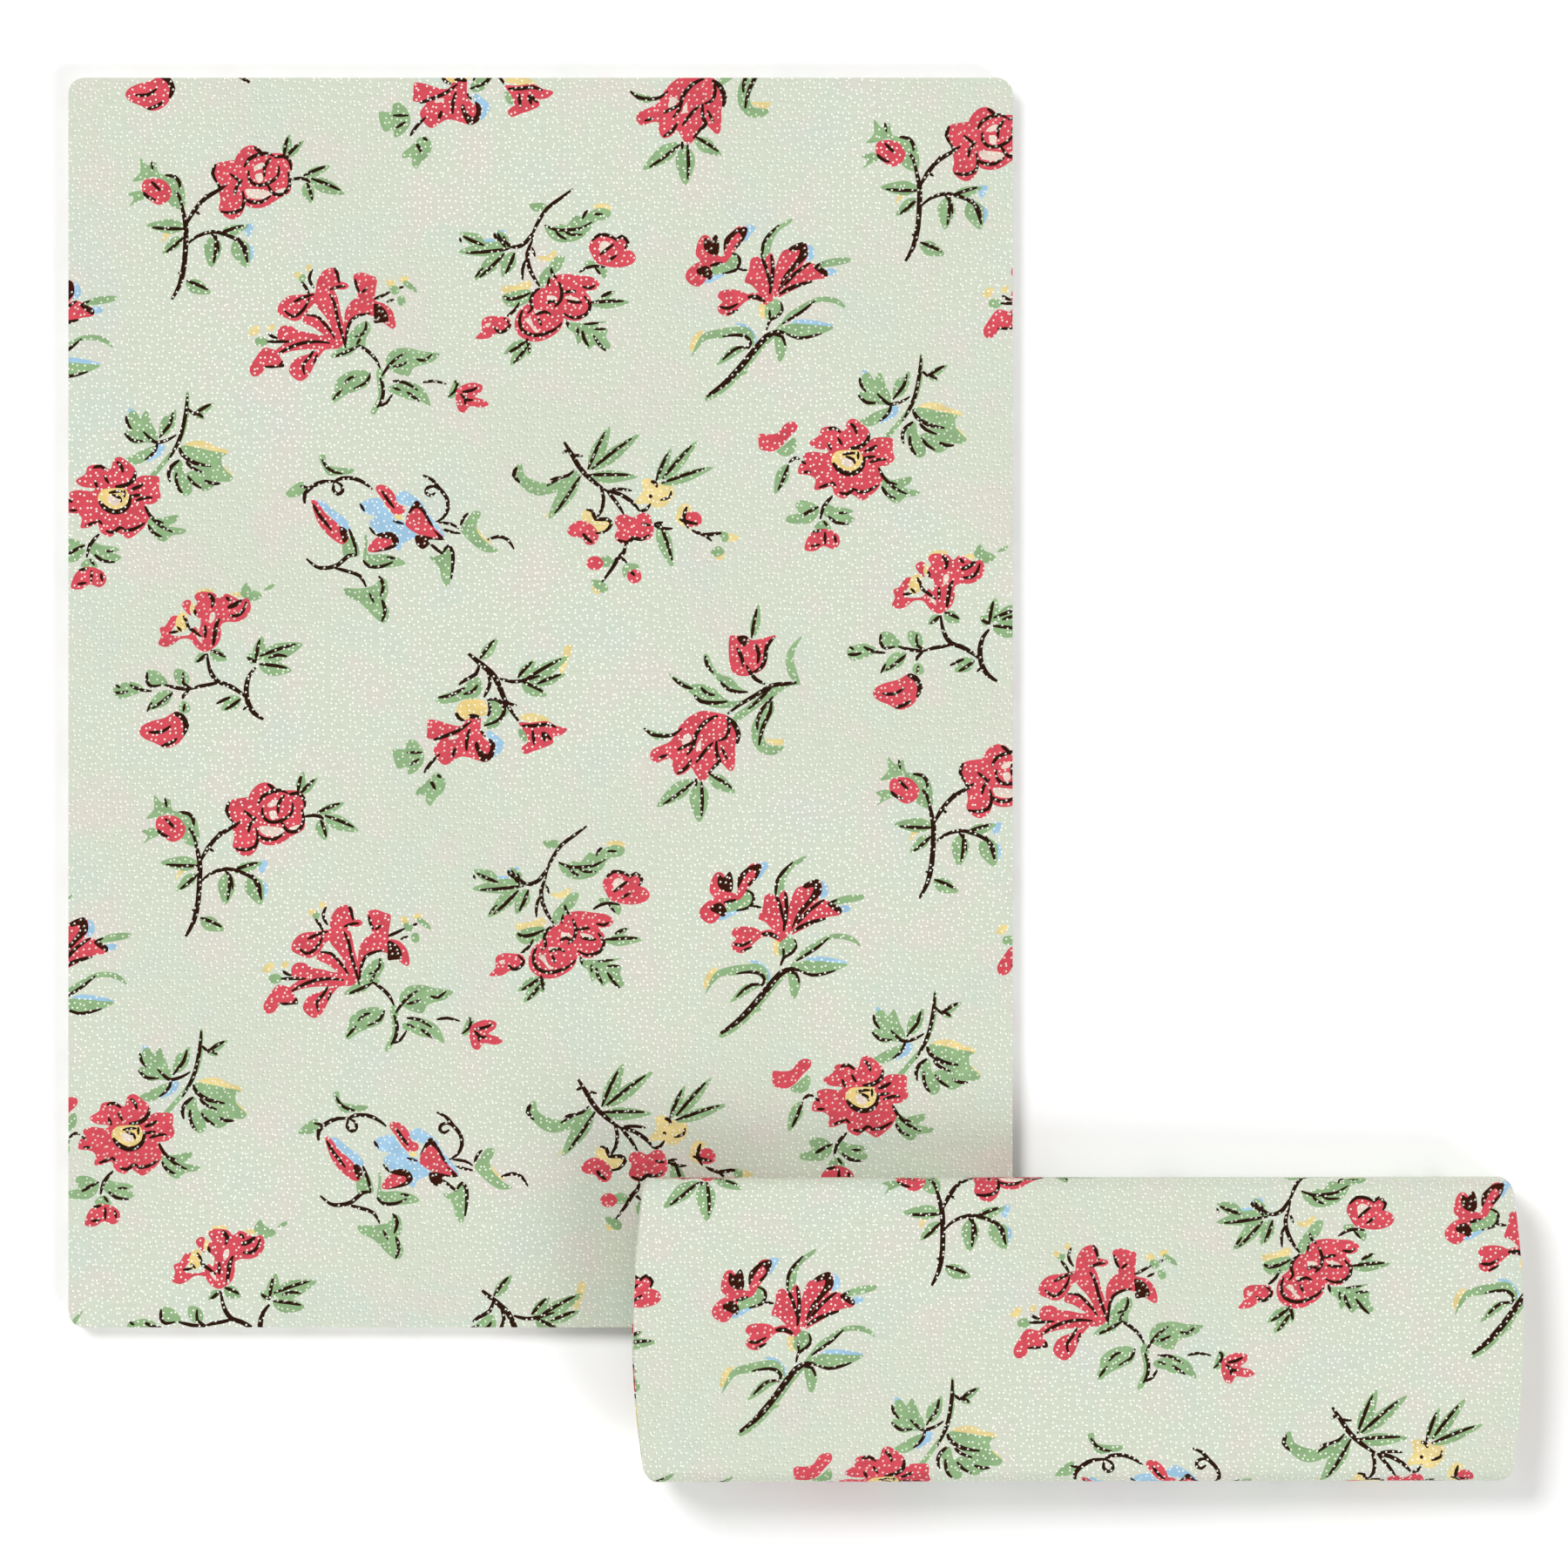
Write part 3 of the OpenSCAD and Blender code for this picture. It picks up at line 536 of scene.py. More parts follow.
            (-7, 39, -4, 38, -1, 31, 4, 26, 10, 24, 16, 18, 20, 15, 12, 14, 6, 17, 2, 22, -4, 29, -7, 34),
            (-30, 27, -24, 24, -16, 20, -8, 20, 0, 17, 6, 11, 12, 9, 20, 10, 10, 5, 0, 5, -8, 8, -14, 13,
             -22, 19),
            (12, 0, 20, 6, 30, 14, 40, 20, 55, 20, 46, 18, 38, 12, 30, 7, 20, 0, 12, -5),
            (36, 10, 38, 4, 34, -4, 31, -12, 33, -18, 38, -19, 44, -20, 38, -25, 30, -24, 25, -19,
             23, -12, 24, -5, 29, 4),
            (-46, -8, -38, -10, -28, -12, -32, -15, -38, -15),
        ],
        "red": [
            (9, 49, 12, 51, 19, 50, 24, 48, 30, 49, 39, 51, 34, 44, 33, 34, 30, 29, 24, 26, 17, 25,
             11, 28, 9, 36),
            (-15, 0, -8, 3, 0, 2, 8, 0, 13, -5, 16, -12, 13, -19, 13, -27, 12, -34, 9, -35, 4, -30,
             0, -30, -2, -36, -8, -42, -12, -38, -15, -33, -18, -36, -24, -38, -27, -33, -27, -28,
             -32, -28, -37, -30, -41, -27, -40, -22, -34, -19, -28, -16, -24, -9, -20, -4),
        ],
        "pale": [(-19, -12, -15, -13, -17, -18, -21, -18), (-11, -18, -9, -15, -9, -21, -12, -22)],
        "brown": [(14, 49, 17, 51, 21, 50, 21, 46, 18, 44)],
        "lines": [
            (1.9, 52, 21, 44, 20, 36, 19, 26, 13, 16, 7, 8, 1), (1.7, 32, 20, 26, 23, 22, 28, 20, 32),
            (1.5, 36, 18, 28, 10, 21, 4), (1.6, 37, 12, 30, 4, 27, -4, 27, -9),
            (1.7, 36, 9, 35, 2, 31, -6, 29, -13, 28, -19), (1.6, 3, 22, 8, 17, 14, 15, 21, 15),
            (1.6, -6, 38, -5, 32, -1, 27), (1.5, -9, 18, -5, 14, 0, 13),
            (1.7, -13, 13, -9, 9, 0, 8, 8, 9), (1.6, -27, 24, -20, 19, -14, 17),
            (1.6, -45, -8, -40, -12, -32, -13, -26, -12, -21, -8), (1.7, 14, 43, 17, 37, 18, 31),
            (1.6, 26, 45, 28, 39, 27, 33), (1.8, 38, 50, 33, 44, 32, 36, 29, 30, 23, 27),
            (1.8, 2, 0, -6, -4, -12, -12, -14, -20, -18, -25), (2.2, 7, -1, 12, -5, 15, -12, 14, -18),
            (1.5, 8, -1, 9, -8, 7, -14, 2, -16), (1.7, 1, -16, 1, -24, 3, -29, 0, -32, -5, -38),
            (1.5, -24, -22, -18, -19, -14, -17), (1.5, -12, -30, -6, -22, -1, -17),
            (1.6, -24, -37, -18, -33, -15, -28), (1.5, -36, -27, -30, -25), (1.4, 4, -20, 8, -28),
            (1.5, -12, -40, -12, -45),
        ],
    },
}
LAYERS = ("blue", "yellow", "leaves", "green", "red", "sun", "pale", "brown", "lines")

# The steps after which the print repeats, and how many of them can reach a piece
REPEAT_ACROSS = Vector((466.2, 24.3))
REPEAT_UP = Vector((-8.8, 404.8))
REPEATS = range(-3, 4)

# How near two points of the mesh may lie before they become one
CDT_TOLERANCE = 1e-4

# Colours as seen under plain light, red, green and blue from 0 to 255
INKS = {
    "ground": (203, 209, 192),
    "blue": (156, 194, 220),
    "yellow": (226, 206, 142),
    "sun": (228, 202, 130),
    "green": (140, 173, 126),
    "red": (207, 76, 88),
    "pale": (222, 205, 191),
    "brown": (52, 16, 2),
    "lines": (40, 16, 2),
}
LINE_BOLDNESS = 1.55
MIDRIB_WIDTH = 1.5
MIDRIB_BOW = 0.12  # how far a midrib stands off the leaf's middle, as a share of the leaf's width


def linear(colour):
    """The linear light value of an 8-bit display colour."""
    shares = [c / 255 for c in colour]
    return tuple(s / 12.92 if s <= 0.04045 else ((s + 0.055) / 1.055) ** 2.4 for s in shares)


def rgba(colour):
    """The linear, opaque value of an 8-bit display colour."""
    return (*linear(colour), 1)


def pairs(numbers):
    """Points from a run of x, y, x, y and so on."""
    return [Vector(numbers[i : i + 2]) for i in range(0, len(numbers), 2)]


def smooth(points, closed, steps=3):
    """Points on a Catmull-Rom curve through the given points."""
    count = len(points)
    spans = count if closed else count - 1
    curve = []
    for i in range(spans):
        near = [(i + k) % count if closed else min(max(i + k, 0), count - 1) for k in (-1, 0, 1, 2)]
        p0, p1, p2, p3 = (points[k] for k in near)
        for s in range(steps):
            t = s / steps
            straight = 2 * p1 + (p2 - p0) * t
            square = (2 * p0 - 5 * p1 + 4 * p2 - p3) * t**2
            cube = (3 * p1 - p0 - 3 * p2 + p3) * t**3
            curve.append(0.5 * (straight + square + cube))
    return curve if closed else curve + [points[-1]]


def stroke(width, points):
    """The outline of a brush line that swells after its start and thins towards its far end."""
    line = smooth(points, False, 2)
    left, right = [], []
    last = len(line) - 1
    for i, p in enumerate(line):
        along = line[min(i + 1, last)] - line[max(i - 1, 0)]
        side = Vector((-along.y, along.x)).normalized()
        share = i / last
        swell = min(1, 0.5 + 2.2 * share, 0.45 + 1.6 * (1 - share))
        half = LINE_BOLDNESS * width / 2 * swell
        left.append(p + side * half)
        right.append(p - side * half)
    return left + right[::-1]


def leaf(base, tip, width):
    """The outline of a pointed leaf, widest a third of the way along."""
    along = tip - base
    side = Vector((-along.y, along.x)).normalized() * width / 2
    wide, narrow = base + along * 0.3, base + along * 0.65
    return smooth([base, wide + side, narrow + side * 0.8, tip, narrow - side * 0.8, wide - side], True)


def midrib(base, tip, width):
    """The dark line that runs up a leaf, a little to one side of its middle."""
    along = tip - base
    side = Vector((-along.y, along.x)).normalized() * width * MIDRIB_BOW
    return stroke(MIDRIB_WIDTH, [base + side, base + along * 0.5 + side * 1.4, base + along * 0.85 + side])


def outlines_of(key, numbers):
    """What one row of a sprig prints, as (ink, outline)."""
    if key == "leaves":
        base, tip = pairs(numbers[:4])
        width = numbers[4]
        return [("green", leaf(base, tip, width)), ("lines", midrib(base, tip, width))]
    if key == "lines":
        return [("lines", stroke(numbers[0], pairs(numbers[1:])))]
    return [(key, smooth(pairs(numbers), True))]


def sprig_shapes():
    """Every shape of the repeat as (ink, outline), in the order in which the inks are laid."""
    shapes = []
    for sprig in SPRIGS.values():
        at = Vector(sprig["at"])
        for key in LAYERS:
            for numbers in sprig.get(key, ()):
                shapes += [(ink, [p + at for p in outline]) for ink, outline in outlines_of(key, numbers)]
    return sorted(shapes, key=lambda shape: LAYERS.index(shape[0]))


REPEAT = sprig_shapes()


def box_of(outline):
    """The least x, least y, greatest x and greatest y of an outline."""
    xs = [p[0] for p in outline]
    ys = [p[1] for p in outline]
    return min(xs), min(ys), max(xs), max(ys)


def print_in(region, turn=0.0, pivot=(0, 0), moved_to=(0, 0)):
    """The shapes of the print that touch a box, with the print turned about a point that is then moved."""
    x0, y0, x1, y1 = region
    rotate = Matrix.Rotation(math.radians(turn), 2)
    pivot, moved_to = Vector(pivot), Vector(moved_to)
    shapes = []
    for i in REPEATS:
        for j in REPEATS:
            step = i * REPEAT_ACROSS + j * REPEAT_UP
            for ink, outline in REPEAT:
                placed = [rotate @ (p + step - pivot) + moved_to for p in outline]
                a0, b0, a1, b1 = box_of(placed)
                if a1 > x0 and a0 < x1 and b1 > y0 and b0 < y1:
                    shapes.append((ink, placed))
    return shapes


def inside(outline, points):
    """Which of the points lie inside the outline, by counting the edges to their right."""
    hit = np.zeros(len(points), bool)
    x, y = points[:, 0], points[:, 1]
    for (ax, ay), (bx, by) in zip(outline, outline[1:] + outline[:1]):
        crosses = (ay > y) != (by > y)
        if by != ay:
            hit ^= crosses & (x < (bx - ax) * (y - ay) / (by - ay) + ax)
    return hit


def cut_mesh(boundary, shapes, columns, rows, creases):
    """Flat triangles inside a boundary, with edges along the print's outlines and the level creases."""
    edge = [Vector(p) for p in boundary]
    limit = [tuple(p) for p in edge]
    points = list(edge)
    lines = [(i, (i + 1) % len(edge)) for i in range(len(edge))]
    for _, outline in shapes:
        first = len(points)
        points += outline
        lines += [(first + i, first + (i + 1) % len(outline)) for i in range(len(outline))]
    beyond = 2 * max(abs(p.x) for p in edge)
    for y in creases:
        lines.append((len(points), len(points) + 1))
        points += [Vector((-beyond, y)), Vector((beyond, y))]
    grid = np.array([(x, y) for x in columns for y in rows], float)
    points += [Vector(p) for p in grid[inside(limit, grid)]]
    flat, _, faces, *_ = delaunay_2d_cdt(points, lines, [], 0, CDT_TOLERANCE, False)
    flat = np.array([tuple(p) for p in flat])
    faces = np.array([f for f in faces if len(f) == 3])
    return flat, faces[inside(limit, flat[faces].mean(axis=1))]


def cut_print(boundary, shapes, columns, rows, creases=()):
    """The cut mesh of a printed face, and each triangle's ink with 1 for printed or 0 for bare."""
    flat, faces = cut_mesh(boundary, shapes, columns, rows, creases)
    middle = flat[faces].mean(axis=1)
    x, y = middle[:, 0], middle[:, 1]
    colour = np.tile((*linear(INKS["ground"]), 0.0), (len(faces), 1))
    for ink, outline in shapes:
        a0, b0, a1, b1 = box_of(outline)
        near = np.flatnonzero((x > a0) & (x < a1) & (y > b0) & (y < b1))
        within = near[inside([tuple(p) for p in outline], middle[near])]
        colour[within] = rgba(INKS[ink])
    used, faces = np.unique(faces, return_inverse=True)
    return flat[used], faces.reshape(-1, 3), colour


# ---------------------------------------------------------------- materials

# The dots, and a painted shadow beside each. A pair of radii, in pitches, is where one fades from and to.
DOT_PITCH = 0.0038
DOT_RADII = (0.11, 0.195)
DOT_STRENGTH = 0.92
DOT_COLOUR = (252, 252, 242)
DOT_SHADOW_RADII = (0.08, 0.17)
DOT_SHADOW_AWAY = (0.0009, 0.0007, 0)
DOT_SHADOW_COLOUR = (148, 152, 118)

WARM_GHOST = (214, 203, 197)
COOL_GHOST = (192, 209, 199)
THREADS_PER_METRE = 2400


def new_material(name, colour, roughness):
    """A material with its node tree, its principled shader and a helper that adds a node.

    The helper takes the node's type, its settings and its inputs, each by its name or by i and its number.
    """
    material = bpy.data.materials.new(name)
    material.use_nodes = True
    tree = material.node_tree
    shader = tree.nodes["Principled BSDF"]
    shader.inputs["Base Color"].default_value = rgba(colour)
    shader.inputs["Roughness"].default_value = roughness

    def node(kind, settings=None, **inputs):
        made = tree.nodes.new(kind)
        for key, value in (settings or {}).items():
            setattr(made, key, value)
        for key, value in inputs.items():
            numbered = key[0] == "i" and key[1:].isdigit()
            socket = made.inputs[int(key[1:]) if numbered else key]
            if isinstance(value, bpy.types.NodeSocket):
                tree.links.new(value, socket)
            else:
                socket.default_value = value
        return made

    return material, tree, shader, node


def mixed(node, share, first, second):
    """The colour a share of the way from the first to the second."""
    return node("ShaderNodeMix", {"data_type": "RGBA"}, i0=share, i6=first, i7=second).outputs[2]


def shaded(node, share, colour, level):
    """The colour multiplied by a grey level, as far as the share says."""
    grey = node("ShaderNodeCombineColor", {}, i0=level, i1=level, i2=level).outputs[0]
    settings = {"data_type": "RGBA", "blend_type": "MULTIPLY"}
    return node("ShaderNodeMix", settings, i0=share, i6=colour, i7=grey).outputs[2]


def product(node, first, second):
    return node("ShaderNodeMath", {"operation": "MULTIPLY"}, i0=first, i1=second).outputs[0]


def ramped(node, value, low, high, to_low=0.0, to_high=1.0):
    """The value carried from one range to another, and held at its ends."""
    return node("ShaderNodeMapRange", {}, i0=value, i1=low, i2=high, i3=to_low, i4=to_high).outputs[0]


def noise(node, where, scale, detail=2.0):
    return node("ShaderNodeTexNoise", {}, Vector=where, Scale=scale, Detail=detail).outputs["Fac"]


def dots(node, where, radii):
    """How strongly each place is covered by dots that are strewn evenly, from 0 to 1."""
    flat = {"voronoi_dimensions": "2D"}
    cells = node("ShaderNodeTexVoronoi", flat, Vector=where, Scale=1 / DOT_PITCH, Randomness=0.75)
    return ramped(node, cells.outputs["Distance"], *radii, 1.0, 0.0)


def stretched(node, where, share):
    """The place with its first axis drawn out, which makes noise run in long streaks."""
    return node("ShaderNodeMapping", {}, Vector=where, Scale=(share, 1, 1)).outputs[0]


def weave(node, where, threads):
    """Height of a plain weave with a number of threads to the metre."""
    scale = threads / (2 * math.pi)
    across, along = (
        node("ShaderNodeTexWave", {"bands_direction": axis}, Vector=where, Scale=scale) for axis in "XY"
    )
    return product(node, across.outputs["Fac"], along.outputs["Fac"])


def bumped(node, shader, height, depth, strength):
    bump = node("ShaderNodeBump", {}, Height=height, Distance=depth, Strength=strength)
    shader.id_data.links.new(bump.outputs[0], shader.inputs["Normal"])


def printed_cotton():
    """Quilting cotton with the inks held in the mesh, a mottled ground and small cream dots, each with a
    painted shadow beside it.
    """
    material, tree, shader, node = new_material("printed cotton", INKS["ground"], 0.88)
    where = node("ShaderNodeUVMap", {"uv_map": "cloth"}).outputs[0]
    ink = node("ShaderNodeAttribute", {"attribute_name": "ink"})

    warm = ramped(node, noise(node, where, 26, 3), 0.5, 0.68, 0, 0.55)
    cool = ramped(node, noise(node, where, 19, 3), 0.52, 0.7, 0, 0.45)
    ground = mixed(node, warm, rgba(INKS["ground"]), rgba(WARM_GHOST))
    ground = mixed(node, cool, ground, rgba(COOL_GHOST))

    uneven = ramped(node, noise(node, where, 90, 4), 0.3, 0.75, 0.8, 1.14)
    inked = shaded(node, 0.8, ink.outputs["Color"], uneven)
    base = mixed(node, ink.outputs["Alpha"], ground, inked)

    patch = noise(node, where, 7, 1)
    # Painted shadow: a faint dark speck set a little off each dot, as if the dot cast it
    beside = node("ShaderNodeMapping", {}, Vector=where, Location=DOT_SHADOW_AWAY).outputs[0]
    painted_dot_shadow = product(node, dots(node, beside, DOT_SHADOW_RADII), ramped(node, patch, 0.35, 0.6, 0.42, 0.1))
    base = mixed(node, painted_dot_shadow, base, rgba(DOT_SHADOW_COLOUR))
    bright = ramped(node, patch, 0.35, 0.6, 0.6 * DOT_STRENGTH, DOT_STRENGTH)
    base = mixed(node, product(node, dots(node, where, DOT_RADII), bright), base, rgba(DOT_COLOUR))

    slub = ramped(node, noise(node, stretched(node, where, 0.12), 700, 2), 0.3, 0.7, 0.95, 1.04)
    base = shaded(node, 1.0, base, slub)
    nap = ramped(node, noise(node, where, 400, 2), 0.3, 0.7, 0.8, 0.95)
    tree.links.new(base, shader.inputs["Base Color"])
    tree.links.new(nap, shader.inputs["Roughness"])
    shader.inputs["Sheen Weight"].default_value = 0.02
    shader.inputs["Sheen Roughness"].default_value = 0.6
    shader.inputs["Specular IOR Level"].default_value = 0.1
    bumped(node, shader, weave(node, where, THREADS_PER_METRE), 0.0001, 0.4)
    return material


def plain_cotton():
    """The unprinted side and the cut edges, where the dye only shows through."""
    material, tree, shader, node = new_material("cotton edge", (226, 228, 216), 0.92)
    where = node("ShaderNodeTexCoord").outputs["Object"]
    warm = ramped(node, noise(node, where, 60, 3), 0.5, 0.72, 0, 0.8)
    cool = ramped(node, noise(node, where, 35, 3), 0.52, 0.7, 0, 0.6)
    base = mixed(node, warm, rgba((228, 230, 219)), rgba((214, 186, 178)))
    base = mixed(node, cool, base, rgba((186, 204, 176)))
    nap = ramped(node, noise(node, where, 500, 2), 0.3, 0.7, 0.85, 0.98)
    tree.links.new(base, shader.inputs["Base Color"])
    tree.links.new(nap, shader.inputs["Roughness"])
    shader.inputs["Sheen Weight"].default_value = 0.2
    bumped(node, shader, noise(node, where, 1800, 2), 0.0001, 0.4)
    return material


def paper(name, light, dark, grain, fleck):
    """Paper or board with long grain, flecks and a dull surface."""
    material, tree, shader, node = new_material(name, light, 0.85)
    where = node("ShaderNodeTexCoord").outputs["Object"]
    fibres = ramped(node, noise(node, stretched(node, where, 0.15), grain, 5), 0.3, 0.7)
    specks = ramped(node, noise(node, where, 900, 1), 0.66, 0.72, 0, fleck)
    base = mixed(node, fibres, rgba(light), rgba(dark))
    base = mixed(node, specks, base, rgba([c * 0.6 for c in dark]))
    tree.links.new(base, shader.inputs["Base Color"])
    tree.links.new(ramped(node, fibres, 0, 1, 0.75, 0.92), shader.inputs["Roughness"])
    shader.inputs["Specular IOR Level"].default_value = 0.3
    bumped(node, shader, fibres, 0.0002, 0.3)
    return material


COTTON = printed_cotton()
COTTON_EDGE = plain_cotton()
KRAFT = paper("kraft liner", (196, 160, 118), (172, 134, 94), 140, 0.35)
FLUTING = paper("fluting paper", (178, 142, 102), (150, 114, 78), 200, 0.4)
BOARD = paper("plain board", (190, 170, 140), (168, 146, 116), 120, 0.3)
LABEL = paper("label paper", (244, 240, 226), (232, 226, 208), 90, 0.1)

# ---------------------------------------------------------------- cloth

# Sizes in millimetres, the same as the CAD's
CLOTH_T = 0.62
STACK_MIDDLE = Vector((-161.636, 48.15))
STACK_W = 600
STACK_D = 794
LEAVES = 15
LEAF_PITCH = 0.8
CORNER_R = 10
CORNER_STEP = 15  # degrees between the points round a corner of the pile
BOLT_LEN = 564
END_BOW_R = 576.2
HALF_W = 86
HALF_T = 10
BOARD_GAP = 0.3
TURN_PITCH = 0.72
CORNERS = 50
TURN_BACK_Y = 80
LOOSE_OFFSET = 9.68
OUTER = LOOSE_OFFSET + CLOTH_T
LIP_DROP = 18
START_Y = -30
LEAN = math.radians(2.1571)
BOLT_ORIGIN = Vector((179.0718, -348.85, 30.2105))

# Sizes in millimetres that only the drawn cloth has
PLY_GAP = 0.26  # from the middle of one ply of the doubled cloth to the middle of the other
PLY_T = 0.22
LOOSE_PLY_T = 0.12  # thinner where the cloth bends back, so that it stays behind the printed faces
PROUD = 0.01  # how far a printed face stands off the doubled cloth
END_CORNER_R = 8  # rounding where the bowed ends meet the front and the rear
SIDE_STEP = 6  # between points along a printed face's sides
SIDE_CLEARANCE = 0.05
BOLT_COLUMN = 14  # between the columns of the mesh of a printed face on the bolt
FIRST_COLUMN = 9  # from the end of the bolt
PILE_CELL = 12  # between the columns and the rows of the mesh of a printed face of the pile

# How the print on the bolt is turned, in degrees, and where the rose spray comes to lie on it
PRINT_TURN = 3
PRINT_ON_BOLT = (-55.5, 68.2)

BOLT_MATRIX = Matrix.Translation(BOLT_ORIGIN) @ Matrix.Rotation(LEAN, 4, "Y")


class Path:
    """A line in a vertical plane, as points of (y, z), that gives the place at any distance along it."""

    def __init__(self, points):
        self.points = np.array(points, float)
        steps = np.linalg.norm(np.diff(self.points, axis=0), axis=1)
        self.at = np.concatenate([[0], np.cumsum(steps)])
        self.length = self.at[-1]

    def place(self, s):
        return np.stack([np.interp(s, self.at, self.points[:, k]) for k in (0, 1)], axis=-1)


def mesh_object(name, points, faces, body, material, uvs=None, colours=None):
    """An object from points in millimetres in the shared frame."""
    mesh = bpy.data.meshes.new(name)
    places = [tuple(p) for p in np.asarray(points) * MM]
    mesh.from_pydata(places, [], [tuple(int(i) for i in face) for face in faces])
    if uvs is not None:
        layer = mesh.uv_layers.new(name="cloth")
        corner_uvs = np.array(uvs)[[loop.vertex_index for loop in mesh.loops]] * MM
        layer.data.foreach_set("uv", corner_uvs.astype(np.float32).ravel())
    if colours is not None:
        attribute = mesh.color_attributes.new("ink", "FLOAT_COLOR", "CORNER")
        attribute.data.foreach_set("color", np.repeat(colours, 3, axis=0).astype(np.float32).ravel())
    mesh.shade_smooth()
    mesh.materials.append(material)
    made = bpy.data.objects.new(name, mesh)
    bpy.context.scene.collection.objects.link(made)
    if body:
        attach(made, body)
    return made


def on_bolt(points):
    """Points of the bolt's own frame in the shared frame."""
    rotation = np.array(BOLT_MATRIX.to_3x3())
    return np.asarray(points) @ rotation.T + np.array(BOLT_ORIGIN)


def offset_at(corner):
    """How far the cloth's inner side stands off the board after a number of turned corners."""
    return BOARD_GAP + TURN_PITCH * corner / 4


def corner_point(c, share, away):
    """Point on a turned corner: 0 is rear bottom, 1 rear top, 2 front top and 3 front bottom."""
    angle = math.radians(90 * (c + share - 1))
    y = (HALF_W if c % 4 < 2 else -HALF_W) + away * math.cos(angle)
    z = (-HALF_T if c % 4 in (0, 3) else HALF_T) + away * math.sin(angle)
    return (y, z)


def spiral(first, last, lift, steps):
    """Points round the turned corners from the first up to the last, lifted off the cloth's inner side."""
    places = [(c, s / steps) for c in range(first, last) for s in range(steps + 1)]
    return [corner_point(c, share, offset_at(c + share) + lift) for c, share in places]


def end_x(y):
    """Half the bolt's length at a distance from its middle line, with bowed ends and rounded corners."""
    bowed = BOLT_LEN / 2 - END_BOW_R + np.sqrt(END_BOW_R**2 - np.asarray(y) ** 2)
    past = np.clip(np.abs(y) - (HALF_W + OUTER - END_CORNER_R), 0, END_CORNER_R)
    return bowed - END_CORNER_R + np.sqrt(END_CORNER_R**2 - past**2)


def printed_ply(name, path, v_sign, body, rows, mirrored=False):
    """A printed face that follows a path from the turn-back line, with the print's y rising or falling."""
    span = np.union1d(np.arange(0, path.length, SIDE_STEP), path.at)
    reach = end_x(path.place(span)[:, 0]) - SIDE_CLEARANCE
    v = TURN_BACK_Y + v_sign * span
    boundary = list(zip(reach, v)) + list(zip(-reach[::-1], v[::-1]))
    region = (-BOLT_LEN / 2, min(v), BOLT_LEN / 2, max(v))
    shapes = print_in(region, PRINT_TURN, SPRIGS["rose spray"]["at"], PRINT_ON_BOLT)
    columns = np.arange(-BOLT_LEN / 2 + FIRST_COLUMN, BOLT_LEN / 2, BOLT_COLUMN)
    creases = TURN_BACK_Y + v_sign * path.at[1:-1]
    levels = TURN_BACK_Y + v_sign * np.array(rows)
    flat, faces, colour = cut_print(boundary, shapes, columns, levels, creases)
    s = (flat[:, 1] - TURN_BACK_Y) * v_sign
    yz = path.place(np.clip(s, 0, path.length))
    points = on_bolt(np.column_stack([flat[:, 0], yz]))
    if (v_sign > 0) != mirrored:
        faces = faces[:, ::-1]
    return mesh_object(name, points, faces, body, COTTON, flat, colour)


def section(x0, x1):
    """Across doubled cloth, from the lower ply's edge at x1 round the fold at x0 and back, as (x, lift)."""
    r = PLY_GAP / 2
    width = x1 - x0 - r
    angles = np.linspace(-math.pi / 2, -3 * math.pi / 2, 5)
    fold = [(x0 + r + r * math.cos(a), r * math.sin(a)) for a in angles]
    lower = [(x0 + r + width * share, -r) for share in (1.0, 0.5)]
    upper = [(x0 + r + width * share, r) for share in (0.5, 1.0)]
    return lower + fold + upper


def doubled_cloth(name, path, left, right, body, place, ply_t=PLY_T):
    """Cloth that follows a path, doubled, with its two plies meeting in a small fold at the left."""
    along = np.gradient(path.points, axis=0)
    along /= np.linalg.norm(along, axis=1)[:, None] + 1e-9
    points = []
    for i, (y, z) in enumerate(path.points):
        side_y, side_z = -along[i, 1], along[i, 0]
        row = section(left(y, i), right(y, i))
        points += [(x, y + side_y * lift, z + side_z * lift) for x, lift in row]
    width = len(row)
    faces = [
        (i * width + j, i * width + j + 1, (i + 1) * width + j + 1, (i + 1) * width + j)
        for i in range(len(path.points) - 1)
        for j in range(width - 1)
    ]
    made = mesh_object(name, place(points), faces, body, COTTON_EDGE)
    thicken(made, ply_t)
    return made


def thicken(made, thickness):
    """Gives a sheet its thickness in the mesh itself, half to each side."""
    solid = made.modifiers.new("thickness", "SOLIDIFY")
    solid.thickness = thickness * MM
    solid.offset = 0
    thin = made.data
    made.data = bpy.data.meshes.new_from_object(made.evaluated_get(bpy.context.evaluated_depsgraph_get()))
    made.modifiers.clear()
    bpy.data.meshes.remove(thin)
    made.data.name = made.name


# ---------------------------------------------------------------- folded length

STACK_TOP = LEAF_PITCH * (LEAVES - 1) + CLOTH_T
STACK_LEFT = STACK_MIDDLE.x - STACK_W / 2
STACK_RIGHT = STACK_MIDDLE.x + STACK_W / 2
STACK_FRONT = STACK_MIDDLE.y - STACK_D / 2
STACK_BACK = STACK_MIDDLE.y + STACK_D / 2
UNDERSIDE_UP = 0.04  # how far the printed underside stands above what the pile rests on
LEAF_SHARES = (0.01, 0.03, 0.5, 0.97, 0.99)
FOLD_STEPS = 6
LEAF_POINTS = len(LEAF_SHARES) + FOLD_STEPS

# The top leaf swells a little over the air in the pile, but not under the bolt or at its edges
TOP_SWELL = 0.7
SWELL_RISE = 60
FLAT_FRONT = 100

# How unevenly the cloth's edges lie in the pile, and as a share of that in the bolt
RANDOM = random.Random(7)
EDGE_JITTER = 0.9
JITTER = [RANDOM.uniform(0, EDGE_JITTER) for _ in range(400)]
BOLT_JITTER_SHARE = 0.4

# Where in that list the values of each edge begin
PILE_LEFT_JITTER = 0
PILE_RIGHT_JITTER = 90
BOLT_LEFT_JITTER = 20
BOLT_RIGHT_JITTER = 120


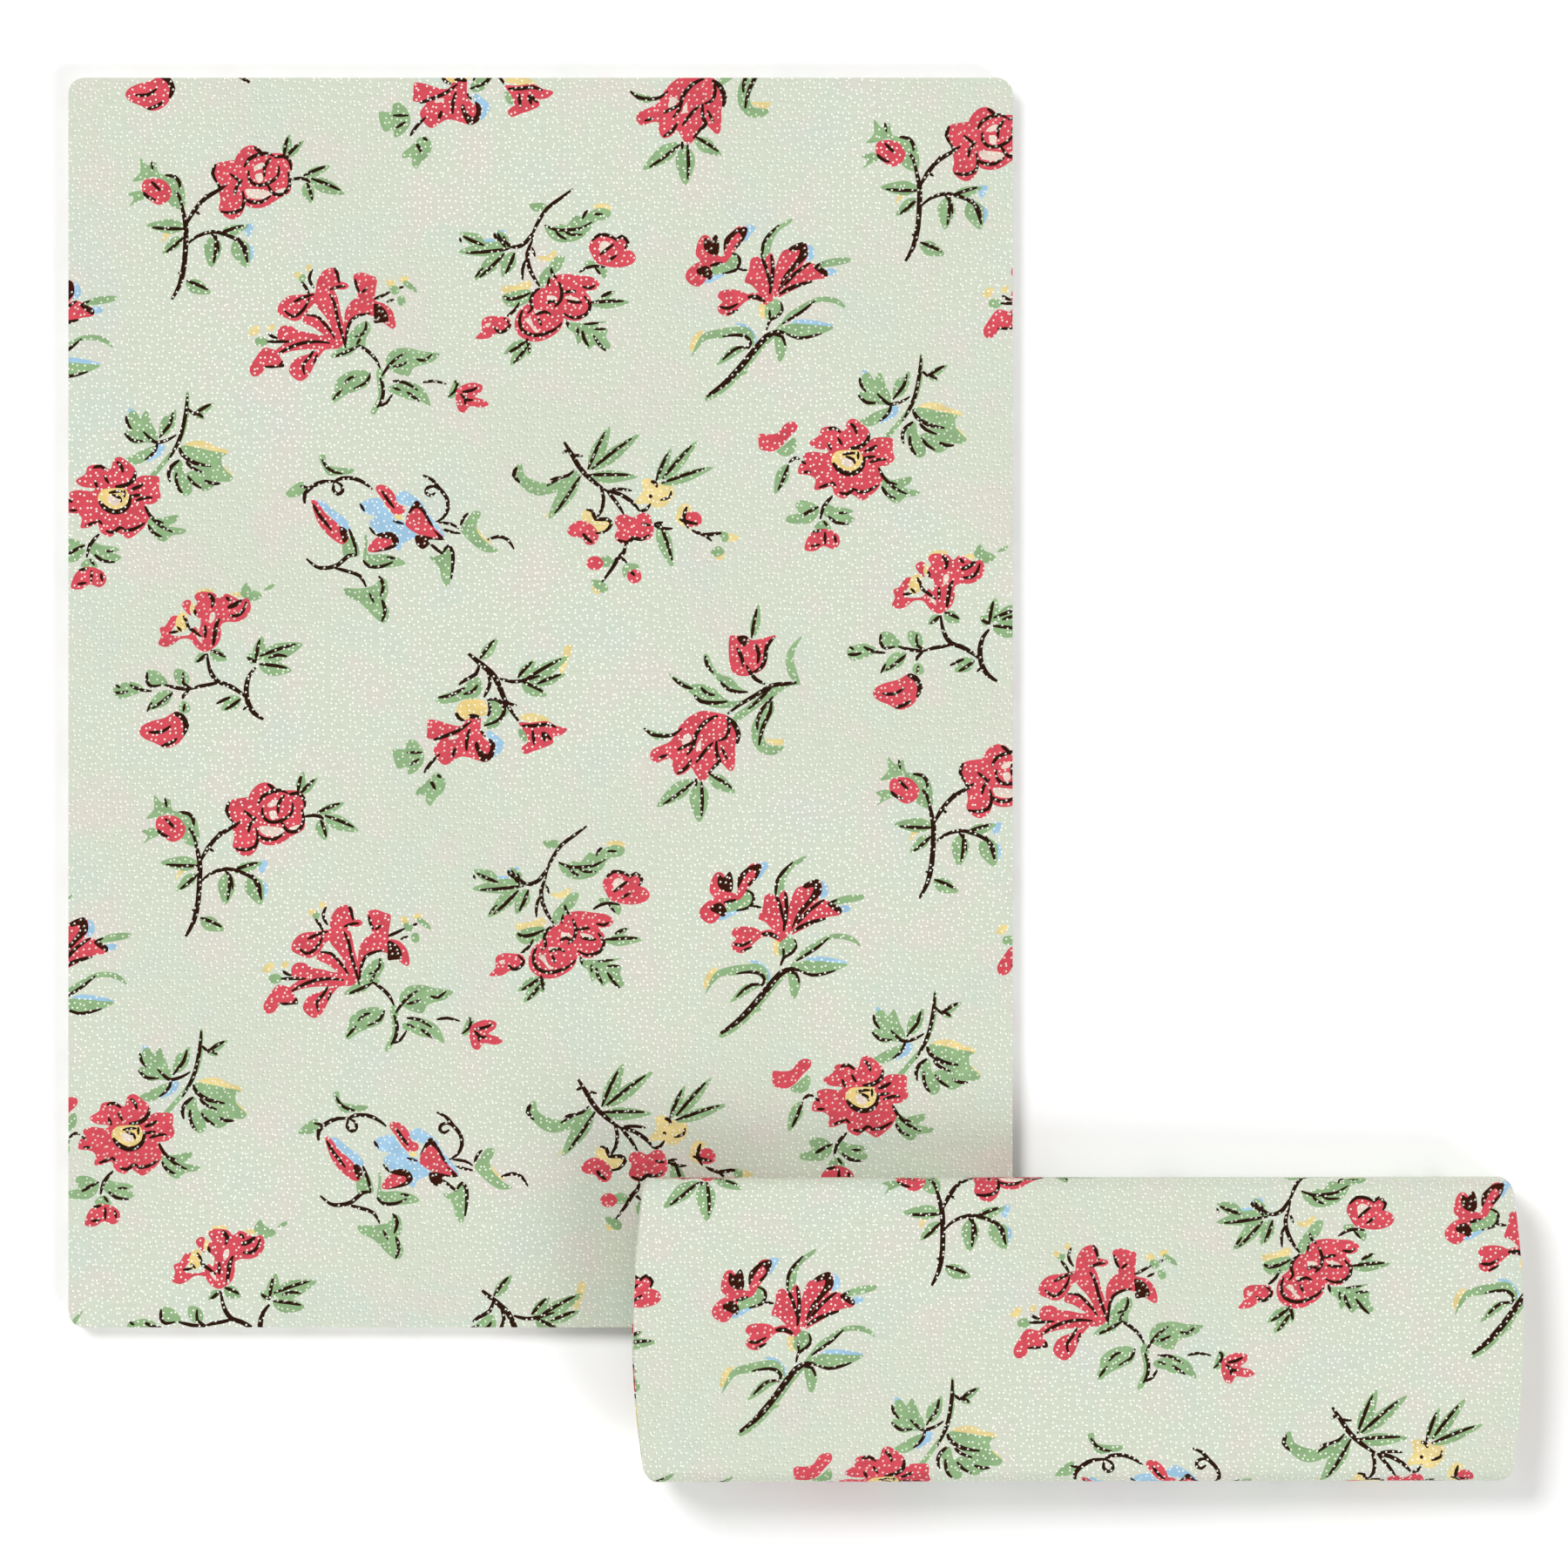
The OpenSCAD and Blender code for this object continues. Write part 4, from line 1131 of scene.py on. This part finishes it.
def corner_inset(y):
    """How far the pile's rounded corners draw in its sides at a distance along Y."""
    depth = min(y - STACK_FRONT, STACK_BACK - y)
    if depth >= CORNER_R:
        return 0.0
    return CORNER_R - math.sqrt(max(CORNER_R**2 - (CORNER_R - max(depth, 0)) ** 2, 0))


def pile_boundary():
    """The rounded outline of the pile, anticlockwise from the front right corner."""
    left, right = STACK_LEFT + CORNER_R, STACK_RIGHT - CORNER_R
    front, back = STACK_FRONT + CORNER_R, STACK_BACK - CORNER_R
    corners = ((right, front, -90), (right, back, 0), (left, back, 90), (left, front, 180))
    steps = range(0, 90 + CORNER_STEP, CORNER_STEP)
    turned = [(x, y, math.radians(start + step)) for x, y, start in corners for step in steps]
    return [(x + CORNER_R * math.cos(a), y + CORNER_R * math.sin(a)) for x, y, a in turned]


def pile_ply(name, z, swell, mirrored):
    """The pile's top or bottom face, printed."""
    region = (STACK_LEFT, STACK_FRONT, STACK_RIGHT, STACK_BACK)
    columns = np.arange(STACK_LEFT + PILE_CELL / 2, STACK_RIGHT, PILE_CELL)
    rows = np.arange(STACK_FRONT + PILE_CELL / 2, STACK_BACK, PILE_CELL)
    flat, faces, colour = cut_print(pile_boundary(), print_in(region), columns, rows)
    x, y = flat[:, 0], flat[:, 1]
    sides = [x - STACK_LEFT, STACK_RIGHT - x, y - STACK_FRONT - FLAT_FRONT, STACK_BACK - y]
    depth = np.minimum.reduce(sides)
    rise = np.clip(depth / SWELL_RISE, 0, 1) * swell
    # Long, shallow waves, as a share of that rise
    wave = 0.5 + 0.5 * np.sin(x / 57 + 1.3 * np.sin(y / 83)) * np.cos(y / 71 + 0.4)
    points = np.column_stack([flat, z + rise * wave])
    if mirrored:
        faces = faces[:, ::-1]
    return mesh_object(name, points, faces, "stack", COTTON, flat, colour)


def pile_path():
    """The middle of the cloth as it runs to and fro through the pile, from the front of the lowest leaf."""
    points = [(STACK_FRONT, CLOTH_T / 2)]
    reach = (LEAF_PITCH + CLOTH_T) / 2
    fold_r = LEAF_PITCH / 2
    turn = np.linspace(-math.pi / 2, math.pi / 2, FOLD_STEPS)
    for i in range(LEAVES):
        z = CLOTH_T / 2 + i * LEAF_PITCH
        backward = i % 2 == 0
        start = STACK_FRONT + reach if backward else STACK_BACK - reach
        stop = STACK_BACK - reach if backward else STACK_FRONT + reach
        points += [(start + (stop - start) * share, z) for share in LEAF_SHARES]
        if i < LEAVES - 1:
            sign = 1 if backward else -1
            middle_z = z + fold_r
            points += [(stop + sign * fold_r * math.cos(a), middle_z + fold_r * math.sin(a)) for a in turn]
    points.append((STACK_BACK, CLOTH_T / 2 + (LEAVES - 1) * LEAF_PITCH))
    return Path(points)


top_ply = pile_ply("folded_length.top_ply", STACK_TOP + PROUD, TOP_SWELL, False)
bottom_ply = pile_ply("folded_length.bottom_ply", UNDERSIDE_UP, 0.0, True)
pile = pile_path()
leaves = doubled_cloth(
    "folded_length.leaves",
    pile,
    lambda y, i: STACK_LEFT + corner_inset(y) + JITTER[i // LEAF_POINTS + PILE_LEFT_JITTER],
    lambda y, i: STACK_RIGHT - corner_inset(y) - JITTER[i // LEAF_POINTS + PILE_RIGHT_JITTER],
    "stack",
    lambda points: points,
)
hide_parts("folded_length")

# ---------------------------------------------------------------- bolt

# The stretch over which the loose end bends when it is turned back, and the size of its steps
BEND = 30
BEND_STEP = 0.75

# Rows of a printed face's mesh are closer where the last turn goes round a corner
FIRST_ROW = 6.0
ROW_STEP = 10
CORNER_ROW_STEP = 2.5
LAST_ROW_FROM_END = 4
LAST_TURN_CORNERS = ((0, 26), (38, 62), (228, 254), (266, 290), (456, 490))
CORNER_STEPS = 4
OUTER_CORNER_STEPS = 8

# The printed face of the last turn starts after this many turned corners. At the rear it sinks towards the
# winding: this far before the corner there, it is this much lower than at the turn-back line.
LAST_TURN_START = 45
SINK_BEFORE = 2
SINK = 0.3

TOP_POINTS = (25, 0, -25, -50, -75)  # where the loose end's path has points in front of its bend
LOOSE_INSET = 0.2  # how far the loose end's cloth stops short of the bolt's right end


def loose_path(away):
    """From the turn-back line over the top and down to the lip, in small steps where it bends back."""
    bend = np.arange(TURN_BACK_Y, TURN_BACK_Y - BEND - BEND_STEP, -BEND_STEP)
    top = [(y, HALF_T + away) for y in (*bend, *TOP_POINTS)]
    corner = [corner_point(2, s / OUTER_CORNER_STEPS, away) for s in range(OUTER_CORNER_STEPS + 1)]
    return Path(top + corner + [(-HALF_W - away, HALF_T - LIP_DROP)])


def mesh_rows(path, corners=()):
    """Distances along a path for the rows of the mesh, close together at its corners."""
    rows = [FIRST_ROW]
    while rows[-1] < path.length - LAST_ROW_FROM_END:
        at_corner = any(low <= rows[-1] <= high for low, high in corners)
        rows.append(rows[-1] + (CORNER_ROW_STEP if at_corner else ROW_STEP))
    return rows


last_turn = Path(
    [(TURN_BACK_Y, HALF_T + OUTER), (HALF_W - SINK_BEFORE, HALF_T + OUTER - SINK)]
    + spiral(LAST_TURN_START, CORNERS, CLOTH_T + PROUD, OUTER_CORNER_STEPS)[::-1]
)
last_rows = mesh_rows(last_turn, LAST_TURN_CORNERS)
outer_ply = printed_ply("wound_cloth.outer_ply", last_turn, 1, "bolt", last_rows)
wound = Path(
    [(START_Y, -HALF_T - BOARD_GAP - CLOTH_T / 2)]
    + spiral(0, CORNERS, CLOTH_T / 2, CORNER_STEPS)
    + [(TURN_BACK_Y, HALF_T + offset_at(CORNERS) + CLOTH_T / 2)]
)
turns = doubled_cloth(
    "wound_cloth.turns",
    wound,
    lambda y, i: -end_x(y) + BOLT_JITTER_SHARE * JITTER[i // (CORNER_STEPS + 1) + BOLT_LEFT_JITTER],
    lambda y, i: end_x(y) - BOLT_JITTER_SHARE * JITTER[i // (CORNER_STEPS + 1) + BOLT_RIGHT_JITTER],
    "bolt",
    on_bolt,
)
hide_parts("wound_cloth")

outside = loose_path(OUTER)
underside = loose_path(LOOSE_OFFSET)
middle = loose_path(LOOSE_OFFSET + CLOTH_T / 2)
loose_outer = printed_ply("loose_end.outer_ply", outside, -1, None, mesh_rows(outside))
loose_inner = printed_ply("loose_end.inner_ply", underside, -1, None, mesh_rows(underside), mirrored=True)
loose_plies = doubled_cloth(
    "loose_end.plies",
    middle,
    lambda y, i: -end_x(y),
    lambda y, i: end_x(y) - LOOSE_INSET,
    None,
    on_bolt,
    LOOSE_PLY_T,
)
hinge_from, hinge_to = on_bolt([(0, y, HALF_T + OUTER) for y in (TURN_BACK_Y, TURN_BACK_Y - BEND)]) * MM
for piece in (loose_outer, loose_inner, loose_plies):
    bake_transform(piece)
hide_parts("loose_end")

# ---------------------------------------------------------------- board and label

CARRIED = {
    "board_outer_liner": ("kraft_liner", KRAFT),
    "board_inner_liner": ("kraft_liner", KRAFT),
    "board_fluting": ("fluting_paper", FLUTING),
    "spacer_ribs": ("plain_board", BOARD),
    "left_end_tab": ("plain_board", BOARD),
    "right_end_tab": ("plain_board", BOARD),
    "end_label": ("label_paper", LABEL),
}
for name, (slot, material) in CARRIED.items():
    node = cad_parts[name]
    node.data.materials.clear()
    node.data.materials.append(material)

# ---------------------------------------------------------------- floor, light and camera

# How bright the sky and each sun make a white sheet that lies flat, and the way towards each sun
WORLD_STRENGTH = 0.48
SUNS = (("key", (-0.66, 0.66, 1), 0.45), ("fill", (1, -1, 0.85), 0.23))
SUN_ANGLE = 28
WHITE = (255, 255, 255)
FLOOR_HALF = 60
FLOOR_DROP = 0.0003  # keeps the floor from meeting the cloth's underside

# What the camera sees, across, at the height of the cloth, and where its middle lies
VIEW_WIDTH = 0.9954
VIEW_MIDDLE = (-0.0069, -0.0036)
VIEW_HEIGHT = 0.02
LENS = 300
SENSOR = 36


def add_floor():
    mesh = bpy.data.meshes.new("floor")
    corners = [(x * FLOOR_HALF, y * FLOOR_HALF, 0) for x, y in ((-1, -1), (1, -1), (1, 1), (-1, 1))]
    mesh.from_pydata(corners, [], [(0, 1, 2, 3)])
    mesh.materials.append(new_material("floor", WHITE, 0.9)[0])
    floor = bpy.data.objects.new("floor", mesh)
    floor.location.z = -FLOOR_DROP
    bpy.context.scene.collection.objects.link(floor)
    return floor


def add_sun(name, toward, level):
    toward = Vector(toward).normalized()
    data = bpy.data.lights.new(name, "SUN")
    data.energy = level * math.pi / toward.z
    data.angle = math.radians(SUN_ANGLE)
    sun = bpy.data.objects.new(name, data)
    sun.rotation_euler = toward.to_track_quat("Z", "Y").to_euler()
    bpy.context.scene.collection.objects.link(sun)
    return sun


def add_sky():
    world = bpy.data.worlds.new("studio")
    world.use_nodes = True
    sky = world.node_tree.nodes["Background"]
    sky.inputs["Color"].default_value = rgba(WHITE)
    sky.inputs["Strength"].default_value = WORLD_STRENGTH
    bpy.context.scene.world = world


def add_camera():
    """A camera that looks straight down from far off."""
    data = bpy.data.cameras.new("camera")
    data.lens = LENS
    data.sensor_width = SENSOR
    camera = bpy.data.objects.new("camera", data)
    camera.location = (*VIEW_MIDDLE, VIEW_WIDTH * LENS / SENSOR + VIEW_HEIGHT)
    bpy.context.scene.collection.objects.link(camera)
    bpy.context.scene.camera = camera


add_sky()
add_floor()
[add_sun(*sun) for sun in SUNS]
add_camera()
bpy.context.scene.view_settings.view_transform = "Standard"
